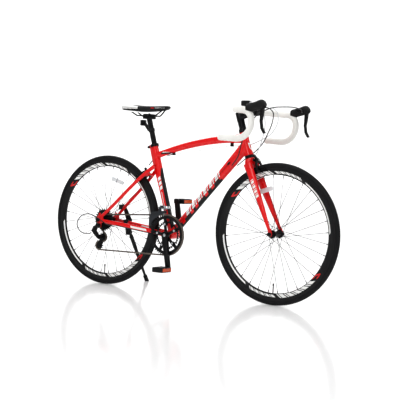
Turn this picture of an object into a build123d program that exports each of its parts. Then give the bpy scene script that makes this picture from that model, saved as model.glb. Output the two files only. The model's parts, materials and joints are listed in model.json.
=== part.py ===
from build123d import *
from math import acos, atan2, cos, degrees, floor, hypot, pi, radians, sin, sqrt, tan
import os

# Road bicycle, in millimetres.  X points forward, Y to the rider's left, Z up.
# Everything is modelled with the bicycle upright and the origin under the rear axle, where
# the rear tyre meets the ground.  The last step leans the whole bicycle onto its kickstand.

# ---------------------------------------------------------------- driving dimensions
STAND_LEAN = 4.64           # degrees that the bicycle leans to the left on its kickstand

# wheels (700 x 28C)
WHEEL_RADIUS = 339.0
TYRE_SECTION = 14.0         # radius of the tyre's round section
WHEELBASE = 1028.0
RIM_DEPTH = 34.0
RIM_WIDTH = 20.0
SPOKE_COUNT = 32
SPOKE_CROSSES = 3
SPOKE_RADIUS = 1.0
SPOKE_STAND = 0.04          # gap at a spoke's elbow, as a share of its flange's offset

# frame
BRACKET_X = 429.0           # bottom bracket axis, forward of the rear axle
BRACKET_Z = 291.0
SEAT_ANGLE = 73.0
HEAD_ANGLE = 71.5
FORK_RAKE = 43.0
SEAT_TUBE_LENGTH = 475.0
SEAT_TUBE_RADIUS = 17.5
HEAD_TUBE_LOW = 402.0       # along the steering axis, from the foot of the rake
HEAD_TUBE_LENGTH = 115.0
HEAD_TUBE_RADIUS = 20.0
STEERER_RADIUS = 14.3
TUBE_WALL = 2.0
SHELL_LENGTH = 68.0
SHELL_RADIUS = 21.0
REAR_SPACING = 130.0        # between the rear dropouts' inner faces
DROPOUT_THICKNESS = 5.0
FRONT_SPACING = 100.0       # between the fork tips' inner faces
EYELET = (6.0, 31.0)        # rack eyelet, from the rear axle
AXLE_RADIUS = 4.75
SPINDLE_RADIUS = 8.5

# seat
SEATPOST_RADIUS = 13.6
SEATPOST_TOP = 613.0        # along the seat tube from the bottom bracket
SEATPOST_LENGTH = 300.0
SADDLE_NOSE_X = 380.0
SADDLE_LENGTH = 285.0
SADDLE_WIDTH = 146.0
SADDLE_TOP = 946.0
RAIL_HEIGHT = 889.0
RAIL_RADIUS = 3.5
RAIL_GAUGE = 22.0           # half the distance between the rails

# cockpit
SPACER_STACK = 58.0
STEM_LENGTH = 90.0
STEM_CLAMP_HEIGHT = 40.0
BAR_RADIUS = 11.9
BAR_CLAMP_RADIUS = 15.9
BAR_HALF_WIDTH = 210.0
BAR_REACH = 112.0
BAR_DROP = 138.0
TAPE_RADIUS = 16.0

# drivetrain
PITCH = 12.7
CHAIN_Y = -52.0             # plane of the chain, the big ring and the smallest sprocket
RING_TEETH = (50, 34)
RING_STEP = 7.5
SPROCKET_TEETH = (14, 16, 18, 20, 22, 24, 28)
SPROCKET_STEP = 4.7
PULLEY_TEETH = 11
PULLEY_SPACING = 50.0
GUIDE_PULLEY = (22.0, 250.0)
CRANK_LENGTH = 170.0
CRANK_ANGLE = 10.0          # degrees that the right crank stands forward of straight down
BOLT_CIRCLE = 55.0
PEDAL_LENGTH = 65.0
PEDAL_WIDTH = 72.0
PEDAL_HEIGHT = 25.0

# kickstand
STAND_PIVOT = (80.0, 100.0, 275.0)
STAND_FOOT = (139.0, 186.0)     # where the foot meets the floor, in the upright frame
STAND_TILT = 13.7               # degrees that the pivot rises outwards

# fits
RUNNING = 0.05              # radial clearance of a turning or sliding fit
GAP = 0.4                   # between pieces that move past each other
BOLT_RADIUS = 2.5           # M5

Y_AXIS = Vector(0, 1, 0)

# ---------------------------------------------------------------- derived places
AXLE_Z = WHEEL_RADIUS
REAR_AXLE = Vector(0, 0, AXLE_Z)
FRONT_AXLE = Vector(WHEELBASE, 0, AXLE_Z)
BRACKET = Vector(BRACKET_X, 0, BRACKET_Z)
SEAT_DIR = Vector(-cos(radians(SEAT_ANGLE)), 0, sin(radians(SEAT_ANGLE)))
STEER_DIR = Vector(-cos(radians(HEAD_ANGLE)), 0, sin(radians(HEAD_ANGLE)))
STEER_FORE = Vector(sin(radians(HEAD_ANGLE)), 0, cos(radians(HEAD_ANGLE)))
STEER_FOOT = FRONT_AXLE - STEER_FORE * FORK_RAKE
HEAD_TOP = HEAD_TUBE_LOW + HEAD_TUBE_LENGTH
STEM_BASE = HEAD_TOP + SPACER_STACK
RIM_OUTER = WHEEL_RADIUS - 22.0
RIM_INNER = WHEEL_RADIUS - 24.0 - RIM_DEPTH
DROPOUT_Y = (REAR_SPACING + DROPOUT_THICKNESS) / 2


def steer(distance, fore=0.0, side=0.0):
    """A point at a distance up the steering axis, moved forward of it and to the left."""
    return STEER_FOOT + STEER_DIR * distance + STEER_FORE * fore + Y_AXIS * side


def seat(distance, fore=0.0, side=0.0):
    """A point at a distance up the seat tube, moved forward of it and to the left."""
    across = Vector(SEAT_DIR.Z, 0, -SEAT_DIR.X)
    return BRACKET + SEAT_DIR * distance + across * fore + Y_AXIS * side


BAR_CENTRE = steer(STEM_BASE + STEM_CLAMP_HEIGHT / 2, STEM_LENGTH)


# ---------------------------------------------------------------- shape helpers
def rod(start, end, radius):
    """A round bar between two points."""
    start, end = Vector(*start), Vector(*end)
    axis = end - start
    base = (Align.CENTER, Align.CENTER, Align.MIN)
    return Plane(origin=start, z_dir=axis) * Cylinder(radius, axis.length, align=base)


def tube(start, end, outer, inner):
    """A round bar with a bore right through it."""
    return rod(start, end, outer) - rod(start, end, inner)


def across(x, z, low, high, radius):
    """A round bar along Y at a place in the side view."""
    return rod((x, low, z), (x, high, z), radius)


def side_plate(points, low, high):
    """A flat plate cut to a side-view outline, from one Y to another."""
    face = make_face(Polyline(*[(x, low, z) for x, z in points], close=True))
    return extrude(face, amount=high - low, dir=(0, 1, 0))


def ellipse_at(point, direction, width, depth):
    """An elliptic section, so wide along Y and so deep in the side view."""
    plane = Plane(origin=point, x_dir=(0, 1, 0), z_dir=direction)
    return plane * Ellipse(width / 2, depth / 2)


def lofted(stations):
    """A smooth tube through (point, direction, width, depth) stations."""
    return loft([ellipse_at(*station) for station in stations])


def hollow(stations, wall):
    """A lofted tube with an even wall and open ends."""
    inside = [(p, d, w - 2 * wall, h - 2 * wall) for p, d, w, h in stations]
    return lofted(stations) - lofted(inside)


def swept(points, radii, radius):
    """A round bar along a filleted polyline."""
    path = FilletPolyline(*points, radius=radii)
    return sweep(Plane(origin=path @ 0, z_dir=path % 0) * Circle(radius), path=path)


def turned(centre, outline):
    """A solid of revolution about Y; outline holds (y, radius) points."""
    plane = Plane(origin=centre, x_dir=(0, 1, 0), z_dir=(1, 0, 0))
    face = plane * make_face(Polyline(*outline, close=True))
    return revolve(face, Axis(centre, Y_AXIS))


def biggest(shape):
    """The largest solid that a cut leaves."""
    return max(shape.solids(), key=lambda solid: solid.volume)


def group(shapes):
    """Several separate solids in one node."""
    return Compound(children=[solid for shape in shapes for solid in shape.solids()])


# ---------------------------------------------------------------- frame
HEAD_LOW_POINT = steer(HEAD_TUBE_LOW)
HEAD_HIGH_POINT = steer(HEAD_TOP)
SEAT_TOP_POINT = seat(SEAT_TUBE_LENGTH)
TOP_TUBE_SEAT = seat(SEAT_TUBE_LENGTH - 62.0)
TOP_TUBE_HEAD = steer(HEAD_TOP - 30.0)
DOWN_TUBE_HEAD = steer(HEAD_TUBE_LOW + 52.0)
DOWN_TUBE_FOOT = BRACKET + Vector(0, 0, 6)
STAY_TOP = seat(SEAT_TUBE_LENGTH - 112.0, -14.0)
CHAINSTAY_Y = 24.0
TOP_TUBE_RISE = 23.0        # how far the top tube arches above a straight line
BOSS_SPACING = 64.0
TOP_TUBE_SECTIONS = ((-0.02, 30, 32), (0.25, 32, 33), (0.5, 33, 35), (0.78, 34, 38), (1.0, 34, 46))
DOWN_TUBE_SECTIONS = ((0, 36, 40), (0.3, 38, 43), (0.6, 40, 46), (0.85, 40, 52), (1, 38, 56))
CHAINSTAY_SECTIONS = ((0, 16, 28), (0.3, 15, 27), (0.7, 15, 24), (1, 13, 18))
SEATSTAY_SECTIONS = ((15, 22), (15, 19), (14, 18), (12, 16))
DERAILLEUR_BAND = 138.0     # front derailleur clamp, up the seat tube
HANGER = Vector(6.0, 0, AXLE_Z - 29.0)


def head_tube_outside():
    """The head tube before its bore: waisted, and wider at the lower bearing."""
    direction = STEER_DIR
    return loft([
        ellipse_at(steer(HEAD_TUBE_LOW + HEAD_TUBE_LENGTH * share), direction, 2 * r, 2 * r)
        for share, r in ((0, HEAD_TUBE_RADIUS + 3), (0.3, HEAD_TUBE_RADIUS),
                         (0.7, HEAD_TUBE_RADIUS - 1), (1, HEAD_TUBE_RADIUS + 1))
    ])


def head_tube():
    """Head tube, bored for the bearing cups at its ends and the steerer between them."""
    bore = rod(steer(HEAD_TUBE_LOW - 1), steer(HEAD_TOP + 1), HEAD_TUBE_RADIUS - 3.0)
    return head_tube_outside() - bore


def teardrop(distance, front, rear, length):
    """A seat tube section: a round front and a smaller round tail behind it."""
    plane = Plane(origin=seat(distance), x_dir=Vector(SEAT_DIR.Z, 0, -SEAT_DIR.X),
                  z_dir=SEAT_DIR)
    lean = -(front - rear) / length
    rise = sqrt(1 - lean * lean)
    high, low = (front * lean, front * rise), (front * lean, -front * rise)
    tail_high = (-length + rear * lean, rear * rise)
    tail_low = (tail_high[0], -tail_high[1])
    edges = [ThreePointArc(low, (front, 0), high), Line(high, tail_high),
             ThreePointArc(tail_high, (-length - rear, 0), tail_low), Line(tail_low, low)]
    return plane * make_face(edges)


def seat_tube_outside():
    """The seat tube before its bore, with a tail that grows towards the stays."""
    r = SEAT_TUBE_RADIUS
    top = SEAT_TUBE_LENGTH
    return loft([teardrop(0, r, r - 0.5, 2), teardrop(top * 0.33, r, r - 1, 4),
                 teardrop(top * 0.62, r, r - 5, 14), teardrop(top * 0.8, r, r - 6, 19),
                 teardrop(top, r, r - 6, 18)])


def seat_tube():
    """Seat tube, mitred to the bottom bracket shell and bored for the seatpost."""
    post_bore = rod(seat(SEAT_TUBE_LENGTH * 0.42), seat(SEAT_TUBE_LENGTH + 1),
                    SEATPOST_RADIUS + RUNNING)
    low_bore = rod(seat(SHELL_RADIUS), seat(SEAT_TUBE_LENGTH * 0.42 + 1),
                   SEAT_TUBE_RADIUS - TUBE_WALL)
    shell = across(BRACKET_X, BRACKET_Z, -50, 50, SHELL_RADIUS)
    return biggest(seat_tube_outside() - shell - post_bore - low_bore)


def top_tube_stations(sections):
    """Sections along the top tube's arch: middle, direction, width and depth."""
    run = TOP_TUBE_HEAD - TOP_TUBE_SEAT
    chord = run.normalized()
    up = Vector(-chord.Z, 0, chord.X)
    stations = []
    for share, width, depth in sections:
        rise = 4 * share * (1 - share) * TOP_TUBE_RISE
        slope = 4 * (1 - 2 * share) * TOP_TUBE_RISE / run.length
        stations.append((TOP_TUBE_SEAT + run * share + up * rise, chord + up * slope, width, depth))
    return stations


def top_tube():
    """Arched top tube, mitred between the seat tube and the head tube."""
    body = hollow(top_tube_stations(TOP_TUBE_SECTIONS), TUBE_WALL)
    return biggest(body - seat_tube_outside() - head_tube_outside())


def boss_places():
    """The two bottle cage bosses on the down tube, and their outward direction."""
    run = (DOWN_TUBE_HEAD - DOWN_TUBE_FOOT).normalized()
    up = Vector(-run.Z, 0, run.X)
    first = DOWN_TUBE_FOOT + run * 210
    return [first + up * 22.5, first + run * BOSS_SPACING + up * 22.5], up


def down_tube_stations():
    """Sections along the down tube: middle, direction, width and depth."""
    run = DOWN_TUBE_HEAD - DOWN_TUBE_FOOT
    return [(DOWN_TUBE_FOOT + run * share, run, width, depth)
            for share, width, depth in DOWN_TUBE_SECTIONS]


def down_tube():
    """Deep down tube with two threaded bottle bosses let into its upper side."""
    body = hollow(down_tube_stations(), TUBE_WALL)
    body -= head_tube_outside()
    body -= across(BRACKET_X, BRACKET_Z, -50, 50, SHELL_RADIUS)
    front_half = lofted(top_tube_stations(TOP_TUBE_SECTIONS[2:]))
    body = biggest(body - seat_tube_outside() - front_half)
    places, up = boss_places()
    for place in places:
        body += rod(place - up * 9, place + up * 2, 6)
    for place in places:
        body -= rod(place - up * 10, place + up * 3, BOLT_RADIUS)
    return body


def bottom_bracket_shell():
    """Shell with the cartridge's two cups screwed into it as separate rings."""
    half = SHELL_LENGTH / 2
    shell = tube((BRACKET_X, -half, BRACKET_Z), (BRACKET_X, half, BRACKET_Z),
                 SHELL_RADIUS, SHELL_RADIUS - 3.5)
    cups = []
    for side in (-1, 1):
        cup = across(BRACKET_X, BRACKET_Z, side * (half - 16), side * half, SHELL_RADIUS - 3.5)
        lip = across(BRACKET_X, BRACKET_Z, side * half, side * (half + 2.5), SHELL_RADIUS - 2)
        bore = across(BRACKET_X, BRACKET_Z, side * (half - 17), side * (half + 4),
                      SPINDLE_RADIUS + RUNNING)
        cups.append(cup + lip - bore)
    return group([shell, *cups])


def chainstay_stations(side):
    """Sections along one chainstay: middle, direction, width and depth."""
    start = BRACKET + Vector(-12, side * CHAINSTAY_Y, 0)
    end = REAR_AXLE + Vector(24, side * DROPOUT_Y, -3)
    run = end - start
    return [(start + run * share, run, width, depth) for share, width, depth in CHAINSTAY_SECTIONS]


def chainstays():
    """Two tapered chainstays and the bridge between them."""
    stays = []
    bridge = across(BRACKET_X - 62, BRACKET_Z + 7, -40, 40, 6)
    for side in (-1, 1):
        stay = hollow(chainstay_stations(side), TUBE_WALL)
        stays.append(biggest(stay - across(BRACKET_X, BRACKET_Z, -50, 50, SHELL_RADIUS)))
        bridge -= lofted(chainstay_stations(side))
    return group([*stays, biggest(bridge)])


BRAKE_BRIDGE_REACH = WHEEL_RADIUS + 21.0     # rear brake bridge, from the rear axle


def seatstay_line(side):
    """Start and end of one seatstay's middle line."""
    top = STAY_TOP + Vector(0, side * 15.0, 0)
    low = REAR_AXLE + Vector(14, side * DROPOUT_Y, 16)
    return top, low


def seatstay_stations(side):
    """Sections along one bowed seatstay: middle, direction, width and depth."""
    top, low = seatstay_line(side)
    run = low - top
    points = [top, top + run * 0.22 + Vector(0, side * 16, 0),
              top + run * 0.55 + Vector(0, side * 10, 0), low]
    stations = []
    for i, (width, depth) in enumerate(SEATSTAY_SECTIONS):
        ahead = points[min(i + 1, 3)] - points[max(i - 1, 0)]
        stations.append((points[i], ahead, width, depth))
    return stations


def seatstays():
    """Two seatstays with the brake bridge between them."""
    stays = []
    centre = brake_bridge_centre()
    bridge = rod(centre + Vector(0, -45, 0), centre + Vector(0, 45, 0), 8)
    for side in (-1, 1):
        stations = seatstay_stations(side)
        stays.append(biggest(hollow(stations, TUBE_WALL) - seat_tube_outside()))
        bridge -= lofted(stations)
    along = seatstay_across()
    bridge = biggest(bridge) - rod(centre - along * 20, centre + along * 20, 3 + RUNNING)
    return group([*stays, bridge])


def seatstay_across():
    """The direction square to the seatstays, pointing back and up."""
    top, low = seatstay_line(0)
    run = (top - low).normalized()
    return Vector(-run.Z, 0, run.X)


def brake_bridge_centre():
    """The middle of the rear brake bridge."""
    top, low = seatstay_line(0)
    run = (top - low).normalized()
    offset = (REAR_AXLE - low).dot(run)
    away = (low + run * offset - REAR_AXLE).length
    return low + run * (offset + sqrt(BRAKE_BRIDGE_REACH ** 2 - away ** 2))


def rear_dropouts():
    """Dropout plates with axle slots, rack eyelets and the derailleur hanger."""
    plates = []
    for side in (-1, 1):
        low = side * DROPOUT_Y - DROPOUT_THICKNESS / 2
        outline = [(-14, 9), (-8, 20), (8, 26), (26, 24), (30, 6), (32, -12), (12, -16),
                   (4, -14), (-12, -10)]
        plate = side_plate([(x, AXLE_Z + z) for x, z in outline], low, low + DROPOUT_THICKNESS)
        if side < 0:
            plate += side_plate([(-6, AXLE_Z - 10), (18, AXLE_Z - 12), (16, HANGER.Z - 9),
                                 (-4, HANGER.Z - 9)], low, low + DROPOUT_THICKNESS)
            plate -= across(HANGER.X, HANGER.Z, low - 1, low + 9, 5)
        plate -= across(0, AXLE_Z, low - 1, low + 9, AXLE_RADIUS + RUNNING)
        slot = [(-20, 4.8), (0, 4.8), (0, -4.8), (-20, -4.8)]
        plate -= side_plate([(x, AXLE_Z + z * 0.99) for x, z in slot], low - 1, low + 9)
        eyelet_x, eyelet_z = EYELET
        plate += across(eyelet_x, AXLE_Z + eyelet_z, low, low + DROPOUT_THICKNESS, 6)
        plate -= across(eyelet_x, AXLE_Z + eyelet_z, low - 1, low + 9, BOLT_RADIUS)
        stays = lofted(chainstay_stations(side)) + lofted(seatstay_stations(side))
        plates.append(biggest(plate - stays))
    return group(plates)


# ---------------------------------------------------------------- frame fittings
CUP_STACK = 12.0            # how far each headset cup stands out of the head tube
RACE_HEIGHT = 3.6
SKIRT_RADIUS = HEAD_TUBE_RADIUS - 3.0
COLLAR_HEIGHT = 14.0


def headset_cups():
    """Two bearing cups pressed into the head tube."""
    cups = []
    for edge, out in ((HEAD_TUBE_LOW, -1), (HEAD_TOP, 1)):
        cup = rod(steer(edge), steer(edge + out * CUP_STACK), HEAD_TUBE_RADIUS + 2)
        cup += rod(steer(edge), steer(edge - out * 10), SKIRT_RADIUS)
        cup -= rod(steer(edge - out * 11), steer(edge + out * (CUP_STACK + 1)),
                   STEERER_RADIUS + RUNNING)
        cups.append(cup)
    return group(cups)


def seat_collar():
    """Split clamp round the top of the seat tube, with its bolt."""
    low = SEAT_TUBE_LENGTH - COLLAR_HEIGHT
    back = -33.5
    ring = rod(seat(low), seat(SEAT_TUBE_LENGTH), SEAT_TUBE_RADIUS + 4)
    ears = rod(seat(low + 7, back, -9), seat(low + 7, back, 9), 6.5)
    ears += Plane(origin=seat(low + 7, -25), x_dir=(0, 1, 0), z_dir=SEAT_DIR) * Box(18, 20, 13)
    collar = ring + ears - seat_tube_outside()
    slit = Plane(origin=seat(low + 7, -32), x_dir=(0, 1, 0), z_dir=SEAT_DIR) * Box(2, 20, 20)
    bolt_line = seat(low + 7, back, -14), seat(low + 7, back, 10)
    bolt = rod(*bolt_line, BOLT_RADIUS) + rod(bolt_line[0], seat(low + 7, back, -9.1), 4.2)
    return group([collar - slit - bolt, bolt])


def cable_stops():
    """Housing stops brazed under the top tube and beside the down tube."""
    stops = []
    for x, z in ((415.0, 697.0), (760.0, 751.0)):
        stop = rod((x - 8, 0, z), (x + 8, 0, z), 4.5) + side_plate(
            [(x - 8, z), (x + 8, z), (x + 8, z + 16), (x - 8, z + 16)], -3, 3)
        stop -= rod((x - 9, 0, z), (x + 9, 0, z), 1.2)
        stops.append(biggest(stop - lofted(top_tube_stations(TOP_TUBE_SECTIONS))))
    run = (DOWN_TUBE_HEAD - DOWN_TUBE_FOOT).normalized()
    place = DOWN_TUBE_FOOT + run * (DOWN_TUBE_HEAD - DOWN_TUBE_FOOT).length * 0.8
    for side in (-1, 1):
        low = place + Vector(0, side * 24, 0)
        stop = rod(low - run * 8, low + run * 8, 4.5) - rod(low - run * 9, low + run * 9, 1.2)
        stop -= lofted(down_tube_stations())
        stops.append(biggest(stop))
    return group(stops)


# ---------------------------------------------------------------- fork and steering
CROWN_LOW = 352.0           # along the steering axis; the tyre passes below it
CROWN_HIGH = HEAD_TUBE_LOW - CUP_STACK - GAP - RACE_HEIGHT
BRAKE_REACH_LINE = 364.0    # front brake bolt, along the steering axis
TIP_THICKNESS = 6.0
BLADE_Y = (31.0, 52.5)      # middle of the blade at the crown and at the tip


def fork():
    """Crown, two tapered blades and the tips that hold the front axle."""
    crown = loft([ellipse_at(steer(CROWN_LOW), STEER_DIR, 90, 46),
                  ellipse_at(steer(CROWN_LOW + 16), STEER_DIR, 76, 47),
                  ellipse_at(steer(CROWN_HIGH), STEER_DIR, 46, 46)])
    blades = []
    for side in (-1, 1):
        top = steer(CROWN_LOW + 8, 0, side * BLADE_Y[0])
        low = FRONT_AXLE + Vector(-7, side * BLADE_Y[1], 20)
        run = low - top
        blade = lofted([(top, run, 25, 46), (top + run * 0.3, run, 23, 40),
                        (top + run * 0.62, run, 19, 30), (low, run, 12, 15)])
        inner = side * FRONT_SPACING / 2
        low_y, high_y = sorted((inner, inner + side * TIP_THICKNESS))
        x, z = WHEELBASE, AXLE_Z
        tip = side_plate([(x - 14, z + 26), (x + 1, z + 28), (x + 9, z + 4), (x + 8, z - 9),
                          (x - 8, z - 9), (x - 10, z + 4)], low_y, high_y)
        tip -= across(x, z, low_y - 1, high_y + 1, AXLE_RADIUS + RUNNING)
        tip -= side_plate([(x - AXLE_RADIUS, z), (x - AXLE_RADIUS, z - 12),
                           (x + AXLE_RADIUS, z - 12), (x + AXLE_RADIUS, z)],
                          low_y - 1, high_y + 1)
        blades.append(blade + tip)
    body = crown + blades[0] + blades[1]
    body -= rod(steer(CROWN_LOW - 20), steer(CROWN_HIGH + 1), STEERER_RADIUS)
    body -= tyre_clearance()
    bolt = rod(steer(BRAKE_REACH_LINE, -60), steer(BRAKE_REACH_LINE, 60), 3 + RUNNING)
    return biggest(body - bolt)


def tyre_clearance():
    """The room that the front tyre needs between the blades."""
    outer = WHEEL_RADIUS + 5
    return across(WHEELBASE, AXLE_Z, -TYRE_SECTION - 3, TYRE_SECTION + 3, outer)


def steerer():
    """Steerer tube standing in the crown, with the crown race."""
    body = rod(steer(CROWN_LOW + 14), steer(STEM_BASE + STEM_CLAMP_HEIGHT - 2), STEERER_RADIUS)
    body -= rod(steer(CROWN_LOW + 24), steer(STEM_BASE + STEM_CLAMP_HEIGHT), STEERER_RADIUS - 2)
    body -= rod(steer(BRAKE_REACH_LINE, -60), steer(BRAKE_REACH_LINE, 60), 3 + RUNNING)
    race = tube(steer(CROWN_HIGH), steer(CROWN_HIGH + RACE_HEIGHT), HEAD_TUBE_RADIUS + 2,
                STEERER_RADIUS)
    return group([body, race])


def spacers():
    """Dust cover and three spacers on the steerer."""
    low = HEAD_TOP + CUP_STACK + GAP
    heights = [6.0] + [(STEM_BASE - low - 6.0) / 3] * 3
    rings = []
    for i, height in enumerate(heights):
        radius = HEAD_TUBE_RADIUS + 1 if i == 0 else STEERER_RADIUS + 3
        rings.append(tube(steer(low), steer(low + height), radius, STEERER_RADIUS))
        low += height
    return group(rings)


CLAMP_HALF = 22.0
FACEPLATE_GAP = 1.5


def stem():
    """Stem with its two steerer bolts, and the cap on top of the steerer."""
    top = STEM_BASE + STEM_CLAMP_HEIGHT
    middle = STEM_BASE + STEM_CLAMP_HEIGHT / 2
    body = rod(steer(STEM_BASE), steer(top), STEERER_RADIUS + 4)
    start, end = steer(middle, 8), steer(middle, STEM_LENGTH - 12)
    body += lofted([(start, STEER_FORE, 32, 34), ((start + end) / 2, STEER_FORE, 29, 30),
                    (end, STEER_FORE, 36, 34)])
    clamp = rod(BAR_CENTRE - Y_AXIS * CLAMP_HALF, BAR_CENTRE + Y_AXIS * CLAMP_HALF,
                BAR_CLAMP_RADIUS + 5)
    body += clamp
    front = Plane(origin=BAR_CENTRE, x_dir=(0, 1, 0), z_dir=STEER_FORE)
    body -= front * Pos(0, 0, 20 - FACEPLATE_GAP / 2) * Box(60, 60, 40)
    body -= rod(BAR_CENTRE - Y_AXIS * 40, BAR_CENTRE + Y_AXIS * 40, BAR_CLAMP_RADIUS)
    body -= rod(steer(STEM_BASE - 1), steer(top + 1), STEERER_RADIUS)
    body -= rod(steer(STEM_BASE - 1, -STEERER_RADIUS - 3), steer(top + 1, -STEERER_RADIUS - 3),
                1.2)
    cap = rod(steer(top), steer(top + 4), STEERER_RADIUS + 3.5)
    cap += rod(steer(top + 4), steer(top + 6), 5)
    return group([biggest(body), cap])


def stem_faceplate():
    """Faceplate that holds the bar in the stem, with its four bolts."""
    plate = tube(BAR_CENTRE - Y_AXIS * CLAMP_HALF, BAR_CENTRE + Y_AXIS * CLAMP_HALF,
                 BAR_CLAMP_RADIUS + 5, BAR_CLAMP_RADIUS)
    back = Plane(origin=BAR_CENTRE, x_dir=(0, 1, 0), z_dir=STEER_FORE)
    plate -= back * Pos(0, 0, -30 + FACEPLATE_GAP / 2) * Box(60, 60, 60)
    bolts = []
    for side in (-1, 1):
        for up in (-1, 1):
            place = BAR_CENTRE + STEER_DIR * up * 18.4 + Y_AXIS * side * 14
            head = rod(place + STEER_FORE * 7, place + STEER_FORE * 12, 3.6)
            bolts.append(head)
            plate -= head
    return group([*plate.solids(), *bolts])


def bar_points(side):
    """Corners of the bar's middle line from the stem to one end, and their radii."""
    base = BAR_CENTRE
    half = side * BAR_HALF_WIDTH
    points = [base + Vector(0, side * 30, 0), base + Vector(0, half, 0),
              base + Vector(BAR_REACH, half, -6),
              base + Vector(BAR_REACH - 12, half, -BAR_DROP - 2),
              base + Vector(-58, half + side * 4, -BAR_DROP + 5)]
    return points, [42, 52, 76]


def bar_side(side, radius):
    """One half of the bar at a given radius."""
    return swept(*bar_points(side), radius)


def handlebar():
    """Drop bar: a thick clamp section with tapers, and two bent halves."""
    base = BAR_CENTRE
    body = rod(base - Y_AXIS * 26, base + Y_AXIS * 26, BAR_CLAMP_RADIUS)
    for side in (-1, 1):
        body += loft([Plane(origin=base + Y_AXIS * side * y, z_dir=Y_AXIS * side) * Circle(r)
                      for y, r in ((26, BAR_CLAMP_RADIUS), (40, BAR_RADIUS))])
        body += bar_side(side, BAR_RADIUS)
    return body


def bar_tape():
    """Tape round each half of the bar, with a plug in each open end."""
    pieces = []
    for side in (-1, 1):
        points, radii = bar_points(side)
        start = BAR_CENTRE + Vector(0, side * 62, 0)
        tape = swept([start, *points[1:]], radii, TAPE_RADIUS)
        pieces.append(tape - bar_side(side, BAR_RADIUS))
        end, before = points[-1], points[-2]
        out = (end - before).normalized()
        pieces.append(rod(end, end + out * 6, TAPE_RADIUS))
    return group(pieces)


# ---------------------------------------------------------------- brake levers
LEVER_PIVOT = Vector(BAR_CENTRE.X + 164, 0, BAR_CENTRE.Z + 7)
LEVER_HALF = 7.0
HOOD_HALF = 15.5
LEVER_SIDE = BAR_HALF_WIDTH


def brake_hoods():
    """Hood on each side, slotted for its lever, with the lever's pin."""
    pieces = []
    x, z = BAR_CENTRE.X, BAR_CENTRE.Z
    for side in (-1, 1):
        y = side * LEVER_SIDE
        path = [((82, 2), (1, 0.1), 34, 40), ((112, 9), (1, 0.2), 33, 42),
                ((142, 17), (1, 0.25), 32, 44), ((163, 22), (1, 0.35), 31, 46),
                ((178, 27), (1, 0.5), 22, 26)]
        hood = lofted([(Vector(x + dx, y, z + dz), Vector(ux, 0, uz), w, d)
                       for (dx, dz), (ux, uz), w, d in path])
        hood -= bar_side(side, TAPE_RADIUS)
        px, pz = LEVER_PIVOT.X, LEVER_PIVOT.Z
        slot = across(px, pz, y - LEVER_HALF - GAP, y + LEVER_HALF + GAP, 12)
        slot += side_plate([(px - 26, pz - 60), (px + 40, pz - 60), (px + 40, pz + 6),
                            (px - 12, pz + 6), (px - 26, pz - 20)],
                           y - LEVER_HALF - GAP, y + LEVER_HALF + GAP)
        pin = across(px, pz, y - 12, y + 12, 2.5)
        hood = biggest(hood - slot) - pin
        pieces += [biggest(hood), pin]
    return group(pieces)


def brake_lever(side):
    """Curved lever blade that swings on the hood's pin."""
    y = side * LEVER_SIDE
    px, pz = LEVER_PIVOT.X, LEVER_PIVOT.Z
    outline = [(px - 8, pz + 5), (px + 2, pz + 9), (px + 9, pz + 2), (px + 7, pz - 26),
               (px + 1, pz - 62), (px + 6, pz - 92), (px + 21, pz - 116), (px + 12, pz - 119),
               (px - 3, pz - 96), (px - 9, pz - 62), (px - 8, pz - 24)]
    blade = side_plate(outline, y - LEVER_HALF, y + LEVER_HALF)
    return blade - across(px, pz, y - 20, y + 20, 2.5 + RUNNING)


SHIFT_PIVOT = Vector(BAR_CENTRE.X + 118, 0, BAR_CENTRE.Z + 20)
LAMP_Y = -84.0


def shift_lever(side):
    """Thumb lever on the inner face of the hood."""
    y = side * (LEVER_SIDE - HOOD_HALF - 3.4)
    x, z = SHIFT_PIVOT.X, SHIFT_PIVOT.Z
    paddle = side_plate([(x - 6, z - 5), (x - 6, z + 5), (x + 8, z + 6), (x + 28, z + 3),
                         (x + 28, z - 7), (x + 8, z - 8)], y - 1.8, y + 1.8)
    return paddle


def headlight():
    """Small lamp strapped over the tape."""
    base = BAR_CENTRE + Vector(0, LAMP_Y, 0)
    outer = TAPE_RADIUS + 3
    strap = tube(base - Y_AXIS * 7, base + Y_AXIS * 7, outer, TAPE_RADIUS)
    middle = base + Vector(-2, 0, outer + 15)
    lamp = Pos(*middle) * Box(44, 30, 26)
    lamp = fillet(lamp.edges(), 5)
    neck = Pos(*(base + Vector(0, 0, outer))) * Box(14, 12, 14)
    neck -= rod(base - Y_AXIS * 20, base + Y_AXIS * 20, outer)
    lens = rod(middle + Vector(22, 0, 0), middle + Vector(25, 0, 0), 9)
    return group([strap, biggest(neck - lamp), lamp, lens])


# ---------------------------------------------------------------- seat
def saddle():
    """Closed saddle body: a wide tail that narrows to the nose."""
    tail = SADDLE_NOSE_X - SADDLE_LENGTH
    half = SADDLE_WIDTH / 2
    stations = [(0, 24, 12), (8, 52, 24), (30, half - 4, 36), (62, half, 40),
                (100, 58, 40), (140, 39, 36), (180, 28, 33), (235, 22, 30),
                (SADDLE_LENGTH - 12, 16, 24), (SADDLE_LENGTH, 8, 13)]
    return lofted([(Vector(tail + along, 0, SADDLE_TOP - depth / 2), Vector(1, 0, 0),
                    2 * reach, depth) for along, reach, depth in stations])


def rails():
    """The saddle's two rails, from the nose to the tail."""
    rods = []
    tail = SADDLE_NOSE_X - SADDLE_LENGTH
    for side in (-1, 1):
        points = [(SADDLE_NOSE_X - 24, side * 7, SADDLE_TOP - 14),
                  (SADDLE_NOSE_X - 76, side * RAIL_GAUGE, RAIL_HEIGHT),
                  (tail + 92, side * RAIL_GAUGE, RAIL_HEIGHT),
                  (tail + 30, side * (RAIL_GAUGE + 10), SADDLE_TOP - 20)]
        rods.append(swept(points, [20, 20], RAIL_RADIUS))
    return rods


def saddle_rails():
    """Rails trimmed where they enter the saddle."""
    body = saddle()
    return group([biggest(rail - body) for rail in rails()])


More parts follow.
